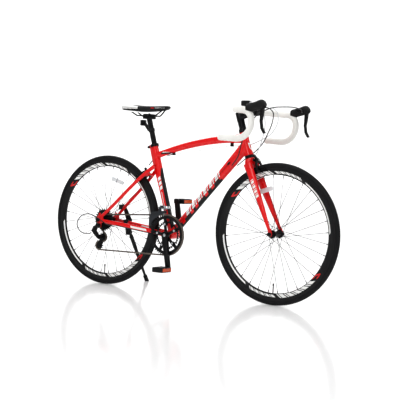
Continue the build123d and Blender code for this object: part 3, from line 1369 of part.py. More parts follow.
def build():
    """Every node of the bicycle, upright, by name."""
    rear_out = REAR_SPACING / 2 + DROPOUT_THICKNESS
    front_out = FRONT_SPACING / 2 + TIP_THICKNESS
    nodes = {
        "head_tube": head_tube(),
        "top_tube": top_tube(),
        "down_tube": down_tube(),
        "seat_tube": seat_tube(),
        "bottom_bracket_shell": bottom_bracket_shell(),
        "chainstays": group([chainstays(), rear_dropouts()]),
        "seatstays": seatstays(),
        "frame_fittings": group([headset_cups(), seat_collar(), cable_stops(),
                                 brake_bolt("rear")]),
        "fork": fork(),
        "steerer": group([steerer(), spacers()]),
        "stem": group([stem(), stem_faceplate()]),
        "handlebar": handlebar(),
        "bar_tape": bar_tape(),
        "brake_hoods": brake_hoods(),
        "headlight": headlight(),
        "saddle": saddle(),
        "seatpost": group([seatpost(), saddle_rails()]),
        "rear_reflector": rear_reflector(),
        "front_tyre": tyre(FRONT_AXLE),
        "front_rim": rim(FRONT_AXLE),
        "front_spokes": spokes(FRONT_AXLE, FRONT_FLANGES),
        "front_hub": hub(FRONT_AXLE, FRONT_FLANGES, -47, 47),
        "front_wheel_trim": wheel_trim(FRONT_AXLE, 108.7),
        "front_axle": axle_set(FRONT_AXLE, FRONT_SPACING / 2, TIP_THICKNESS),
        "front_release_lever": release_lever(FRONT_AXLE, front_out, FRONT_LEVER_AIM),
        "rear_tyre": tyre(REAR_AXLE),
        "rear_rim": rim(REAR_AXLE),
        "rear_spokes": spokes(REAR_AXLE, REAR_FLANGES),
        "rear_hub": hub(REAR_AXLE, REAR_FLANGES, -22, 62),
        "rear_wheel_trim": wheel_trim(REAR_AXLE, 73.7),
        "rear_axle": axle_set(REAR_AXLE, REAR_SPACING / 2, DROPOUT_THICKNESS),
        "rear_release_lever": release_lever(REAR_AXLE, rear_out, REAR_LEVER_AIM),
        "chain": chain(),
        "chainrings": chainrings(),
        "right_crank": right_crank(),
        "left_crank": left_crank(),
        "crank_spindle": group([crank_spindle(), chainring_bolts()]),
        "pedal_spindles": pedal_spindles(),
        "right_pedal": pedal(-1),
        "left_pedal": pedal(1),
        "sprockets": sprockets(),
        "front_derailleur": front_derailleur(),
        "front_derailleur_cage": front_cage(),
        "rear_derailleur": rear_derailleur(),
        "derailleur_cage": derailleur_cage(),
        "guide_pulley": pulley(GUIDE_PULLEY),
        "tension_pulley": pulley(tension_place()),
        "front_brake_hardware": group([brake_bolt("front"),
                                       bar_cable(FRONT_BRAKE_HOUSING)]),
        "control_cables": control_cables(),
        "frame_cables": frame_cables(),
        "kickstand_bracket": stand_bracket(),
        "kickstand_leg": stand_leg(),
    }
    for name, side in (("left", 1), ("right", -1)):
        nodes[name + "_brake_lever"] = brake_lever(side)
        nodes[name + "_shift_lever"] = shift_lever(side)
        for end in ("front", "rear"):
            nodes[end + "_brake_" + name + "_arm"] = brake_arm(end, side)
    return nodes


def lean(shape):
    """Lean a piece with the bicycle, rolling on its tyres' round section."""
    floor_line = Axis((0, 0, TYRE_SECTION), (1, 0, 0))
    return shape.rotate(floor_line, -STAND_LEAN)


def main():
    """Write every node, leaning on the stand, with its foot flat on the floor."""
    os.makedirs("parts", exist_ok=True)
    floor = Pos(0, 0, -100) * Box(4000, 2000, 200)
    for name, shape in build().items():
        placed = lean(shape)
        if name == "kickstand_leg":
            placed = group([placed - floor])
        export_step(placed, f"parts/{name}.step")


if __name__ == "__main__":
    main()
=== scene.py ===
"""Looks of a drop-bar road bicycle that leans on its kickstand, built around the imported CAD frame."""

import json
import logging
import math
from dataclasses import dataclass
from enum import Enum
from typing import Callable, Iterable, Sequence

import bmesh
import bpy
from mathutils import Matrix, Vector

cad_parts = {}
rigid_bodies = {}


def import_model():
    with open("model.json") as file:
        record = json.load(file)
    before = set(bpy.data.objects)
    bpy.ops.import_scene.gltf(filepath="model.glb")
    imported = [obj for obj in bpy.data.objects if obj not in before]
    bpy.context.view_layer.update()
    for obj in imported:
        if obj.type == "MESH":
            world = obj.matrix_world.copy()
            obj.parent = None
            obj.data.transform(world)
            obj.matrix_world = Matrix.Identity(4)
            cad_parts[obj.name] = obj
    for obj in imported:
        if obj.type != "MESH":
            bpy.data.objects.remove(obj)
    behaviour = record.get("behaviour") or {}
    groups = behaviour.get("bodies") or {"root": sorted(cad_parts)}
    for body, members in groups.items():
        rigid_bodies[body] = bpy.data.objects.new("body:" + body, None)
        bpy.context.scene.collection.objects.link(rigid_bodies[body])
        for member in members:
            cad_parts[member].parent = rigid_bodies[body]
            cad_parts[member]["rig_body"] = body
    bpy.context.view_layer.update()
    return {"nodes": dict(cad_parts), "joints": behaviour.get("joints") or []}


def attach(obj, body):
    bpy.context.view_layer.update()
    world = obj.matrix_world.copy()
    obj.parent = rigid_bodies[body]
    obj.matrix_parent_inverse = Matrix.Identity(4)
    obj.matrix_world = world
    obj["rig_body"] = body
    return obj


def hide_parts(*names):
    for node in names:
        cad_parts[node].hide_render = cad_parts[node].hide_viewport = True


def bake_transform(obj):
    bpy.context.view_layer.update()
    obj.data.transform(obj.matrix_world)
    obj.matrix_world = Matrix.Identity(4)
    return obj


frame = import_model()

log = logging.getLogger("bicycle")
TAU = 2 * math.pi
MM = 0.001


# ---------------------------------------------------------------- the bicycle's own frame
@dataclass(frozen=True)
class Stance:
    """How the upright bicycle stands in the row's frame.

    Attributes:
        lean: angle in radians that the bicycle leans to its left.
        section: radius of the tyre's round section, in metres.
        radius: outer radius of a wheel, in metres.
        wheelbase: distance between the axles, in metres.
    """

    lean: float
    section: float
    radius: float
    wheelbase: float

    @classmethod
    def from_joints(cls) -> "Stance":
        """Work the stance out from the two wheel joints.

        Returns:
            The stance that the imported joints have.
        """
        rear, front = (joint(name) for name in ("rear_wheel_spin", "front_wheel_spin"))
        _, across, down = rear["axis"]
        lean = math.atan2(-down, across)
        _, side, height = rear["pos_m"]
        ring = side / math.sin(lean)
        section = height - ring * math.cos(lean)
        return cls(lean, section, section + ring, front["pos_m"][0] - rear["pos_m"][0])

    @property
    def matrix(self) -> Matrix:
        """Matrix from the upright bicycle to the row's frame."""
        pivot = Vector((0, 0, self.section))
        return (Matrix.Translation(pivot) @ Matrix.Rotation(-self.lean, 4, "X")
                @ Matrix.Translation(-pivot))

    def upright(self, point: Sequence[float]) -> Vector:
        """Take a point of the row's frame back to the upright bicycle."""
        return self.matrix.inverted() @ Vector(point)


def joint(name: str) -> dict:
    """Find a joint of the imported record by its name.

    Args:
        name: the joint's name.

    Returns:
        The joint's entry in the record.
    """
    return next(j for j in frame["joints"] if j["name"] == name)


STANCE = Stance.from_joints()
REAR_AXLE = Vector((0, 0, STANCE.radius))
FRONT_AXLE = Vector((STANCE.wheelbase, 0, STANCE.radius))
BRACKET = STANCE.upright(joint("crank_spin")["pos_m"])
HEAD_ANGLE = math.radians(71.5)
SEAT_ANGLE = math.radians(73.0)
STEER_DIR = Vector((-math.cos(HEAD_ANGLE), 0, math.sin(HEAD_ANGLE)))
STEER_FORE = Vector((math.sin(HEAD_ANGLE), 0, math.cos(HEAD_ANGLE)))
SEAT_DIR = Vector((-math.cos(SEAT_ANGLE), 0, math.sin(SEAT_ANGLE)))
SEAT_FORE = Vector((math.sin(SEAT_ANGLE), 0, math.cos(SEAT_ANGLE)))
FORK_RAKE = 0.043
BAR_HEIGHT = 0.595       # of the bar's clamp, up the steering axis
STEM_REACH = 0.090
STEER_FOOT = FRONT_AXLE - STEER_FORE * FORK_RAKE
BAR_CENTRE = STEER_FOOT + STEER_DIR * BAR_HEIGHT + STEER_FORE * STEM_REACH
UP = Vector((0, 0, 1))
LEFT = Vector((0, 1, 0))


def steer(along: float, fore: float = 0.0, side: float = 0.0) -> Vector:
    """Find a point by its distances up the steering axis, ahead of it and to the left, in metres."""
    return STEER_FOOT + STEER_DIR * along + STEER_FORE * fore + LEFT * side


def seat(along: float, fore: float = 0.0, side: float = 0.0) -> Vector:
    """Find a point by its distances up the seat tube, ahead of it and to the left, in metres."""
    return BRACKET + SEAT_DIR * along + SEAT_FORE * fore + LEFT * side


# ---------------------------------------------------------------- finishes
def linear(code: str) -> tuple[float, float, float, float]:
    """Turn an sRGB hex colour into linear values.

    Args:
        code: six hex digits.

    Returns:
        Red, green, blue and an alpha of 1.
    """
    values = [int(code[i:i + 2], 16) / 255 for i in (0, 2, 4)]
    low = [v / 12.92 if v <= 0.04045 else ((v + 0.055) / 1.055) ** 2.4 for v in values]
    return (*low, 1.0)


def add(tree: bpy.types.NodeTree, kind: str, settings: dict | None = None,
        links: dict | None = None) -> bpy.types.Node:
    """Add a shader node.

    Args:
        tree: the material's node tree.
        kind: the node's type.
        settings: attribute or socket names, each with its value.
        links: socket names, each with the output that feeds it.

    Returns:
        The new node.
    """
    made = tree.nodes.new(kind)
    for key, value in (settings or {}).items():
        if isinstance(key, str) and hasattr(made, key):
            setattr(made, key, value)
        else:
            made.inputs[key].default_value = value
    for key, source in (links or {}).items():
        tree.links.new(source, made.inputs[key])
    return made


class Grain(Enum):
    """Which fine relief a finish has."""

    ORANGE_PEEL = "orange peel"
    BRUSHED = "brushed"
    BEADED = "beaded"
    PEBBLED = "pebbled"
    CORK = "cork"
    TREAD = "tread"


@dataclass(frozen=True)
class Finish:
    """A real material with the surface that its making leaves.

    Attributes:
        name: what a maker calls it.
        colour: sRGB hex colour.
        shade: sRGB hex colour of its darker or worn patches.
        roughness: how dull it is.
        metallic: 1 for bare metal.
        coat: weight of a clear lacquer.
        sheen: weight of a fibre sheen.
        transmission: how clear it is.
        grain: its fine relief.
        grain_mm: width of one bump of the relief.
        relief: strength of the relief.
        variation: how far patches go towards the shade.
        ior: index of refraction; a metal keeps the default.
        gloss: how much of the surface lets a highlight form; pores and dust lower it.
    """

    name: str
    colour: str
    shade: str
    roughness: float
    metallic: float = 0.0
    coat: float = 0.0
    sheen: float = 0.0
    transmission: float = 0.0
    grain: Grain = Grain.BEADED
    grain_mm: float = 1.0
    relief: float = 0.1
    variation: float = 0.25
    ior: float = 1.5
    gloss: float = 0.3

    def height(self, tree: bpy.types.NodeTree, place: bpy.types.NodeSocket) -> bpy.types.NodeSocket:
        """Make the relief's height.

        Args:
            tree: the material's node tree.
            place: object coordinates in metres.

        Returns:
            The output that holds the height.
        """
        scale = 1000 / self.grain_mm
        if self.grain in (Grain.PEBBLED, Grain.CORK):
            cells = add(tree, "ShaderNodeTexVoronoi", {"feature": "SMOOTH_F1", "Scale": scale},
                        {"Vector": place})
            return cells.outputs["Distance"]
        if self.grain is Grain.BRUSHED:
            stretched = add(tree, "ShaderNodeVectorMath",
                            {"operation": "MULTIPLY", 1: (1.0, 0.06, 1.0)}, {0: place})
            lines = add(tree, "ShaderNodeTexNoise", {"Scale": scale, "Detail": 3.0},
                        {"Vector": stretched.outputs[0]})
            return lines.outputs["Fac"]
        noise = add(tree, "ShaderNodeTexNoise", {"Scale": scale, "Detail": 2.0}, {"Vector": place})
        return noise.outputs["Fac"]

    def material(self) -> bpy.types.Material:
        """Build the material, or find it if it is built.

        Returns:
            The material.
        """
        found = bpy.data.materials.get(self.name)
        if found:
            return found
        made = bpy.data.materials.new(self.name)
        made.use_nodes = True
        tree = made.node_tree
        shader = tree.nodes["Principled BSDF"]
        place = add(tree, "ShaderNodeTexCoord").outputs["Object"]
        patches = add(tree, "ShaderNodeTexNoise", {"Scale": 14.0, "Detail": 4.0}, {"Vector": place})
        share = add(tree, "ShaderNodeMapRange", {"From Min": 0.35, "From Max": 0.75,
                                                 "To Min": 0.0, "To Max": self.variation},
                    {"Value": patches.outputs["Fac"]})
        blend = add(tree, "ShaderNodeMix", {"data_type": "RGBA", 6: linear(self.colour),
                                            7: linear(self.shade)}, {0: share.outputs[0]})
        tree.links.new(blend.outputs[2], shader.inputs["Base Color"])
        rough = add(tree, "ShaderNodeMapRange", {"To Min": self.roughness * 0.85,
                                                 "To Max": min(1.0, self.roughness * 1.25)},
                    {"Value": patches.outputs["Fac"]})
        tree.links.new(rough.outputs[0], shader.inputs["Roughness"])
        bump = add(tree, "ShaderNodeBump", {"Strength": self.relief,
                                            "Distance": self.grain_mm * MM * 0.5},
                   {"Height": self.height(tree, place)})
        tree.links.new(bump.outputs[0], shader.inputs["Normal"])
        shader.inputs["Metallic"].default_value = self.metallic
        shader.inputs["Coat Weight"].default_value = self.coat
        shader.inputs["Coat Roughness"].default_value = 0.04
        shader.inputs["Sheen Weight"].default_value = self.sheen
        shader.inputs["Transmission Weight"].default_value = self.transmission
        if not self.metallic:
            shader.inputs["IOR"].default_value = self.ior
            shader.inputs["Specular IOR Level"].default_value = self.gloss
        return made


# Sprayed enamel under clear lacquer: a saturated red with a wet, sharp highlight.
RED_PAINT = Finish("red_enamel_lacquered", "E40A10", "CC050A", 0.26, coat=0.4,
                   grain=Grain.ORANGE_PEEL, grain_mm=2.5, relief=0.04)
# Cast vinyl transfers under the same lacquer: flat white and black with a soft gloss.
WHITE_VINYL = Finish("white_vinyl_transfer", "F4F4F2", "E2E2E0", 0.3, coat=0.6, grain_mm=1.5,
                     relief=0.03, variation=0.15)
BLACK_VINYL = Finish("black_vinyl_transfer", "0E0E10", "161618", 0.42, coat=0.15, grain_mm=1.5,
                     relief=0.03)
RED_VINYL = Finish("red_vinyl_transfer", "DE1A1E", "B01014", 0.3, coat=0.5, grain_mm=1.5,
                   relief=0.03)
# Bead-blasted and anodised aluminium: black with a satin sheen and a fine bright edge.
BLACK_ALLOY = Finish("black_anodised_aluminium", "151517", "0C0C0E", 0.34, metallic=0.55,
                     grain=Grain.BEADED, grain_mm=0.5, relief=0.08)
# Extruded rim, anodised and polished: near black with long soft highlights.
RIM_ALLOY = Finish("black_polished_rim_aluminium", "0E0E10", "09090B", 0.3, metallic=0.3, coat=0.1,
                   grain=Grain.BRUSHED, grain_mm=0.8, relief=0.05)
# Turned brake track: grey rings left by the lathe.
TRACK_ALLOY = Finish("machined_rim_aluminium", "2C2D30", "1E1F22", 0.42, metallic=1.0,
                     grain=Grain.BRUSHED, grain_mm=0.4, relief=0.15)
# Polished aluminium, slightly clouded by handling.
SILVER_ALLOY = Finish("polished_aluminium", "C9CBCE", "A6A8AB", 0.24, metallic=1.0,
                      grain=Grain.BRUSHED, grain_mm=0.5, relief=0.08)
# Drawn stainless spoke wire: bright thin lines.
STAINLESS = Finish("drawn_stainless_steel", "C4C6CA", "9A9CA0", 0.26, metallic=1.0,
                   grain=Grain.BRUSHED, grain_mm=0.6, relief=0.05)
# Spoke wire painted dark grey, a painted shade that keeps the thin lines dark against the bright
# backdrop.
SHADE_PAINTED_SPOKE_WIRE = Finish("dulled_spoke_wire", "26272A", "1E1F22", 0.34, metallic=1.0,
                    grain=Grain.BRUSHED, grain_mm=0.6, relief=0.05)
# Oiled chain steel: brown-grey with dark oil in its joints.
CHAIN_STEEL = Finish("oiled_chain_steel", "7A726A", "3A3532", 0.42, metallic=0.9, grain_mm=1.0,
                     relief=0.12, variation=0.7)
# Pressed cage steel, coloured dark grey to lower its brightness: grey with soft reflections.
CAGE_STEEL = Finish("dark_plated_cage_steel", "4C4E52", "34363A", 0.36, metallic=1.0,
                    grain=Grain.BRUSHED, grain_mm=0.5, relief=0.08)
# Phosphated sprocket steel: matt black.
BLACK_STEEL = Finish("phosphated_steel", "202022", "121214", 0.45, metallic=0.6, grain_mm=0.6,
                     relief=0.12)
# Powder-coated steel: black with a fine pebble.
POWDER_BLACK = Finish("powder_coated_steel", "18181A", "101012", 0.42, grain=Grain.ORANGE_PEEL,
                      grain_mm=1.2, relief=0.2)
# Vulcanised tread rubber: charcoal black and dull, with fine moulded threads.
TREAD = Finish("vulcanised_tread_rubber", "111113", "1C1C1E", 0.66, grain=Grain.TREAD,
               grain_mm=1.6, relief=0.35, variation=0.5)
# Moulded hood rubber: soft black with a fine leathery pebble for grip.
HOOD_RUBBER = Finish("moulded_hood_rubber", "151517", "0D0D0F", 0.55, sheen=0.05,
                     grain=Grain.PEBBLED, grain_mm=1.3, relief=0.35)
# Foamed tape with flecks of cork: warm white and slightly mottled.
CORK_TAPE = Finish("white_cork_tape", "F3F2EE", "DDDBD4", 0.6, sheen=0.2, grain=Grain.CORK,
                   grain_mm=1.8, relief=0.25, variation=0.4)
# Pressed synthetic leather: black with a fine grain and a soft sheen.
LEATHER = Finish("black_synthetic_leather", "121214", "0B0B0D", 0.42, sheen=0.05,
                 grain=Grain.PEBBLED, grain_mm=1.1, relief=0.3)
WHITE_LEATHER = Finish("white_synthetic_leather", "F1F1EF", "D8D8D5", 0.42, sheen=0.2,
                       grain=Grain.PEBBLED, grain_mm=1.1, relief=0.3)
# Injection-moulded resin: black with a satin mould texture.
RESIN = Finish("moulded_black_resin", "141416", "0D0D0F", 0.48, grain_mm=0.7, relief=0.18)
# Moulded prismatic acrylic: clear, amber or red with a bright prism pattern.
CLEAR_PRISM = Finish("clear_prismatic_acrylic", "F2F4F6", "D8DCE0", 0.12, coat=0.5,
                     transmission=0.35, grain=Grain.PEBBLED, grain_mm=3.0, relief=0.6, ior=1.49)
AMBER_PRISM = Finish("amber_prismatic_acrylic", "E8560A", "B83A04", 0.14, coat=0.5,
                     transmission=0.2, grain=Grain.PEBBLED, grain_mm=3.0, relief=0.6, ior=1.49)
RED_PRISM = Finish("red_prismatic_acrylic", "6E0A0C", "3C0406", 0.16, coat=0.5,
                   transmission=0.1, grain=Grain.PEBBLED, grain_mm=3.0, relief=0.6, ior=1.49)
# Extruded polymer housings: one black, one pale grey, both slightly shiny.
BLACK_HOUSING = Finish("black_cable_housing", "1A1A1C", "101012", 0.3, grain_mm=0.8, relief=0.05)
GREY_HOUSING = Finish("pale_grey_cable_housing", "D9DADB", "C2C3C5", 0.3, grain_mm=0.8, relief=0.05)


# ---------------------------------------------------------------- mesh tools
Ring = list[Vector]


def skin(rings: Sequence[Ring], loop: bool = False, caps: bool = True) -> tuple[list, list]:
    """Join rings of equal length into a surface.

    Args:
        rings: closed rings of points.
        loop: whether the last ring joins the first.
        caps: whether the two ends are closed.

    Returns:
        The vertices and the faces.
    """
    count = len(rings[0])
    points = [p for ring in rings for p in ring]
    faces = []
    for i in range(len(rings) if loop else len(rings) - 1):
        low, high = i * count, (i + 1) % len(rings) * count
        for k in range(count):
            n = (k + 1) % count
            faces.append((low + k, low + n, high + n, high + k))
    if caps and not loop:
        faces.append(tuple(reversed(range(count))))
        faces.append(tuple(range((len(rings) - 1) * count, len(rings) * count)))
    return points, faces


def oval(centre: Vector, across: Vector, up: Vector, width: float, depth: float,
         count: int = 32, square: float = 2.0) -> Ring:
    """Make a ring in the plane of two directions.

    Args:
        centre: the ring's middle.
        across: unit direction of its width.
        up: unit direction of its depth.
        width: full width in metres.
        depth: full depth in metres.
        count: number of points.
        square: 2 for an ellipse, more for a squarer ring.

    Returns:
        The ring's points.
    """
    ring = []
    for k in range(count):
        c, s = math.cos(TAU * k / count), math.sin(TAU * k / count)
        x = math.copysign(abs(c) ** (2 / square), c) * width / 2
        y = math.copysign(abs(s) ** (2 / square), s) * depth / 2
        ring.append(centre + across * x + up * y)
    return ring


def frames_along(points: Sequence[Vector]) -> list[tuple[Vector, Vector, Vector]]:
    """Carry a frame along a line without twisting it.

    Args:
        points: the line.

    Returns:
        For each point, the direction and two directions across it.
    """
    result = []
    normal = None
    for i, here in enumerate(points):
        ahead = points[min(i + 1, len(points) - 1)] - points[max(i - 1, 0)]
        tangent = ahead.normalized()
        if normal is None:
            guess = LEFT if abs(tangent.y) < 0.9 else UP
            normal = (guess - tangent * guess.dot(tangent)).normalized()
        normal = (normal - tangent * normal.dot(tangent)).normalized()
        result.append((tangent, normal, tangent.cross(normal)))
    return result


def hose(points: Sequence[Vector], radius: float, sides: int = 12,
         shape: Callable[[float, float], float] | None = None) -> tuple[list, list]:
    """Sweep a round section along a line.

    Args:
        points: the line.
        radius: the section's radius in metres.
        sides: points round the section.
        shape: the radius for a distance along the line and an angle round it.

    Returns:
        The vertices and the faces.
    """
    rings, run = [], 0.0
    for i, (here, (_, n, b)) in enumerate(zip(points, frames_along(points))):
        run += (here - points[i - 1]).length if i else 0.0
        ring = []
        for k in range(sides):
            angle = TAU * k / sides
            reach = shape(run, angle) if shape else radius
            ring.append(here + n * math.cos(angle) * reach + b * math.sin(angle) * reach)
        rings.append(ring)
    return skin(rings)


def merge(parts: Iterable[tuple[list, list]]) -> tuple[list, list]:
    """Put several surfaces into one list of vertices and faces."""
    points, faces = [], []
    for some_points, some_faces in parts:
        start = len(points)
        points += some_points
        faces += [tuple(i + start for i in face) for face in some_faces]
    return points, faces


def spun(profile: Sequence[tuple[float, float]], centre: Vector, count: int = 192) -> tuple[list, list]:
    """Turn a closed profile about a line across the bicycle.

    Args:
        profile: (side, radius) points in metres.
        centre: a point on the line.
        count: number of steps round it.

    Returns:
        The vertices and the faces.
    """
    rings = []
    for k in range(count):
        c, s = math.cos(TAU * k / count), math.sin(TAU * k / count)
        rings.append([centre + Vector((r * c, y, r * s)) for y, r in profile])
    return skin(rings, loop=True)


def piece(name: str, surface: tuple[list, list], body: str | None, finish: Finish,
          replaced: Sequence[str] = (), bevel_mm: float = 0.0, subdivide: int = 0,
          sharp: float = 35.0) -> bpy.types.Object:
    """Make a piece in the upright bicycle's frame and stand it in the row's frame.

    Args:
        name: the piece's name.
        surface: its vertices and faces.
        body: the CAD body that it rides on, or None for a piece that rides on no body.
        finish: its finish.
        replaced: CAD nodes that it stands for.
        bevel_mm: width of its rounded edges.
        subdivide: levels of subdivision.
        sharp: angle in degrees above which an edge stays sharp.

    Returns:
        The new object.
    """
    mesh = bpy.data.meshes.new(name)
    mesh.from_pydata([tuple(p) for p in surface[0]], [], surface[1])
    mesh.transform(STANCE.matrix)
    work = bmesh.new()
    work.from_mesh(mesh)
    bmesh.ops.recalc_face_normals(work, faces=work.faces)
    work.to_mesh(mesh)
    work.free()
    made = bpy.data.objects.new(name, mesh)
    bpy.context.scene.collection.objects.link(made)
    finish_edges(made, bevel_mm, subdivide, sharp)
    made.data.materials.append(finish.material())
    if body:
        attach(made, body)
    if replaced:
        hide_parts(*replaced)
    log.info("piece %s: %d faces", name, len(made.data.polygons))
    return made


def finish_edges(made: bpy.types.Object, bevel_mm: float, subdivide: int, sharp: float) -> None:
    """Round a piece's edges, subdivide it and set where its shading breaks.

    Args:
        made: the piece.
        bevel_mm: width of the rounded edges.
        subdivide: levels of subdivision.
        sharp: angle in degrees above which an edge stays sharp.
    """
    if bevel_mm:
        bevel = made.modifiers.new("rounded", "BEVEL")
        bevel.width = bevel_mm * MM
        bevel.segments = 2
        bevel.limit_method = "ANGLE"
        bevel.angle_limit = math.radians(sharp)
        bevel.use_clamp_overlap = True
    if subdivide:
        smooth = made.modifiers.new("smooth", "SUBSURF")
        smooth.levels = smooth.render_levels = subdivide
    if bevel_mm or subdivide:
        graph = bpy.context.evaluated_depsgraph_get()
        graph.update()
        final = bpy.data.meshes.new_from_object(made.evaluated_get(graph))
        made.modifiers.clear()
        made.data = final
    for face in made.data.polygons:
        face.use_smooth = True
    made.data.set_sharp_from_angle(angle=math.radians(sharp))


def refined(node: str, finish: Finish, bevel_mm: float = 0.8,
            sharp: float = 38.0) -> bpy.types.Object:
    """Stand a copy of a CAD node in its place, with rounded edges.

    Args:
        node: the node's name.
        finish: its finish.
        bevel_mm: width of the rounded edges.
        sharp: angle in degrees above which an edge is rounded.

    Returns:
        The new object.
    """
    mesh = frame["nodes"][node].data.copy()
    mesh.materials.clear()
    for name in ("custom_normal", "sharp_face", "sharp_edge"):
        found = mesh.attributes.get(name)
        if found:
            mesh.attributes.remove(found)
    work = bmesh.new()
    work.from_mesh(mesh)
    bmesh.ops.remove_doubles(work, verts=work.verts, dist=2e-6)
    bmesh.ops.dissolve_limit(work, angle_limit=math.radians(1.0), verts=work.verts,
                             edges=work.edges)
    work.to_mesh(mesh)
    work.free()
    made = bpy.data.objects.new(node + "_finished", mesh)
    bpy.context.scene.collection.objects.link(made)
    finish_edges(made, bevel_mm, 0, sharp)
    made.data.materials.append(finish.material())
    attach(made, frame["nodes"][node]["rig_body"])
    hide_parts(node)
    log.info("piece %s: %d faces", made.name, len(made.data.polygons))
    return made


# ---------------------------------------------------------------- transfers cut into a surface
@dataclass(frozen=True)
class Chart:
    """A flat chart held against a tube, on which transfers are laid out.

    Attributes:
        start: the chart's origin, in the upright bicycle.
        along: unit direction of its first axis.
        up: unit direction of its second axis.
        side: unit direction from the tube towards the viewer of the chart.
    """

    start: Vector
    along: Vector
    up: Vector
    side: Vector

    def read(self, point: Vector) -> tuple[float, float, float]:
        """Read a point's place on the chart and its height towards the side."""
        away = point - self.start
        return away.dot(self.along), away.dot(self.up), away.dot(self.side)


Shape = Sequence[tuple[float, float]]


def transfer(made: bpy.types.Object, chart: Chart, shapes: Iterable[Shape], finish: Finish,
             floor: float = 0.0, deep: float = 0.2) -> None:
    """Cut convex shapes into a piece's surface and give them another finish.

    Args:
        made: the piece, at rest in the row's frame.
        chart: where the shapes lie.
        shapes: convex outlines in metres, each turning anticlockwise on the chart.
        finish: the transfer's finish.
        floor: lowest height above the chart that is printed.
        deep: highest height above the chart that is printed.
    """
    slots = made.data.materials
    if finish.material().name not in slots:
        slots.append(finish.material())
    index = list(slots).index(finish.material())
    work = bmesh.new()
    work.from_mesh(made.data)
    work.transform(STANCE.matrix.inverted())

    def near(low: tuple[float, float], high: tuple[float, float]) -> list:
        found = []
        for face in work.faces:
            spots = [chart.read(v.co) for v in face.verts]
            if (min(s[0] for s in spots) < high[0] and max(s[0] for s in spots) > low[0]
                    and min(s[1] for s in spots) < high[1] and max(s[1] for s in spots) > low[1]
                    and max(s[2] for s in spots) > floor - 1e-6
                    and min(s[2] for s in spots) < deep):
                found.append(face)
        return found

    for shape in shapes:
        low = tuple(min(p[i] for p in shape) for i in (0, 1))
        high = tuple(max(p[i] for p in shape) for i in (0, 1))
        sides = []
        for i, (u, v) in enumerate(shape):
            next_u, next_v = shape[(i + 1) % len(shape)]
            out = chart.along * (next_v - v) - chart.up * (next_u - u)
            corner = chart.start + chart.along * u + chart.up * v
            sides.append((corner, out.normalized()))
        if floor:
            sides.append((chart.start + chart.side * floor, -chart.side))
        for corner, out in sides:
            faces = near(low, high)
            geometry = set(faces)
            for face in faces:
                geometry.update(face.edges)
                geometry.update(face.verts)
            bmesh.ops.bisect_plane(work, geom=list(geometry), dist=1e-6, plane_co=corner,
                                   plane_no=out)
        for face in near(low, high):
            middle = face.calc_center_median()
            if all((middle - corner).dot(out) < 1e-6 for corner, out in sides):
                face.material_index = index
    work.transform(STANCE.matrix)
    work.to_mesh(made.data)
    work.free()
    made.data.set_sharp_from_angle(angle=math.radians(38))


def bars(start: float, widths: Sequence[float], gap: float, low: float, high: float,
         slant: float) -> list[Shape]:
    """Lay out a row of slanted blocks.

    Args:
        start: where the first block starts.
        widths: each block's width.
        gap: the gap between blocks.
        low: the blocks' lower edge.
        high: their upper edge.
        slant: how far the upper edge is shifted along the row.

    Returns:
        The blocks' outlines.
    """
    shapes, place = [], start
    for width in widths:
        shapes.append([(place, low), (place + width, low), (place + width + slant, high),
                       (place + slant, high)])
        place += width + gap
    return shapes


def cut_marks(start: float, low: float, high: float, slant: float, count: int,
              step: float) -> list[Shape]:
    """Lay out a row of marks, each a broad slanted block with a narrow one behind it.

    Args:
        start: where the row starts.
        low: the marks' lower edge.
        high: their upper edge.
        slant: how far the upper edge is shifted along the row.
        count: how many marks.
        step: the distance from one mark to the next.

    Returns:
        Their outlines.
    """
    shapes = []
    for i in range(count):
        shapes += bars(start + i * step, (step * 0.48, step * 0.16), step * 0.14, low, high, slant)
    return shapes


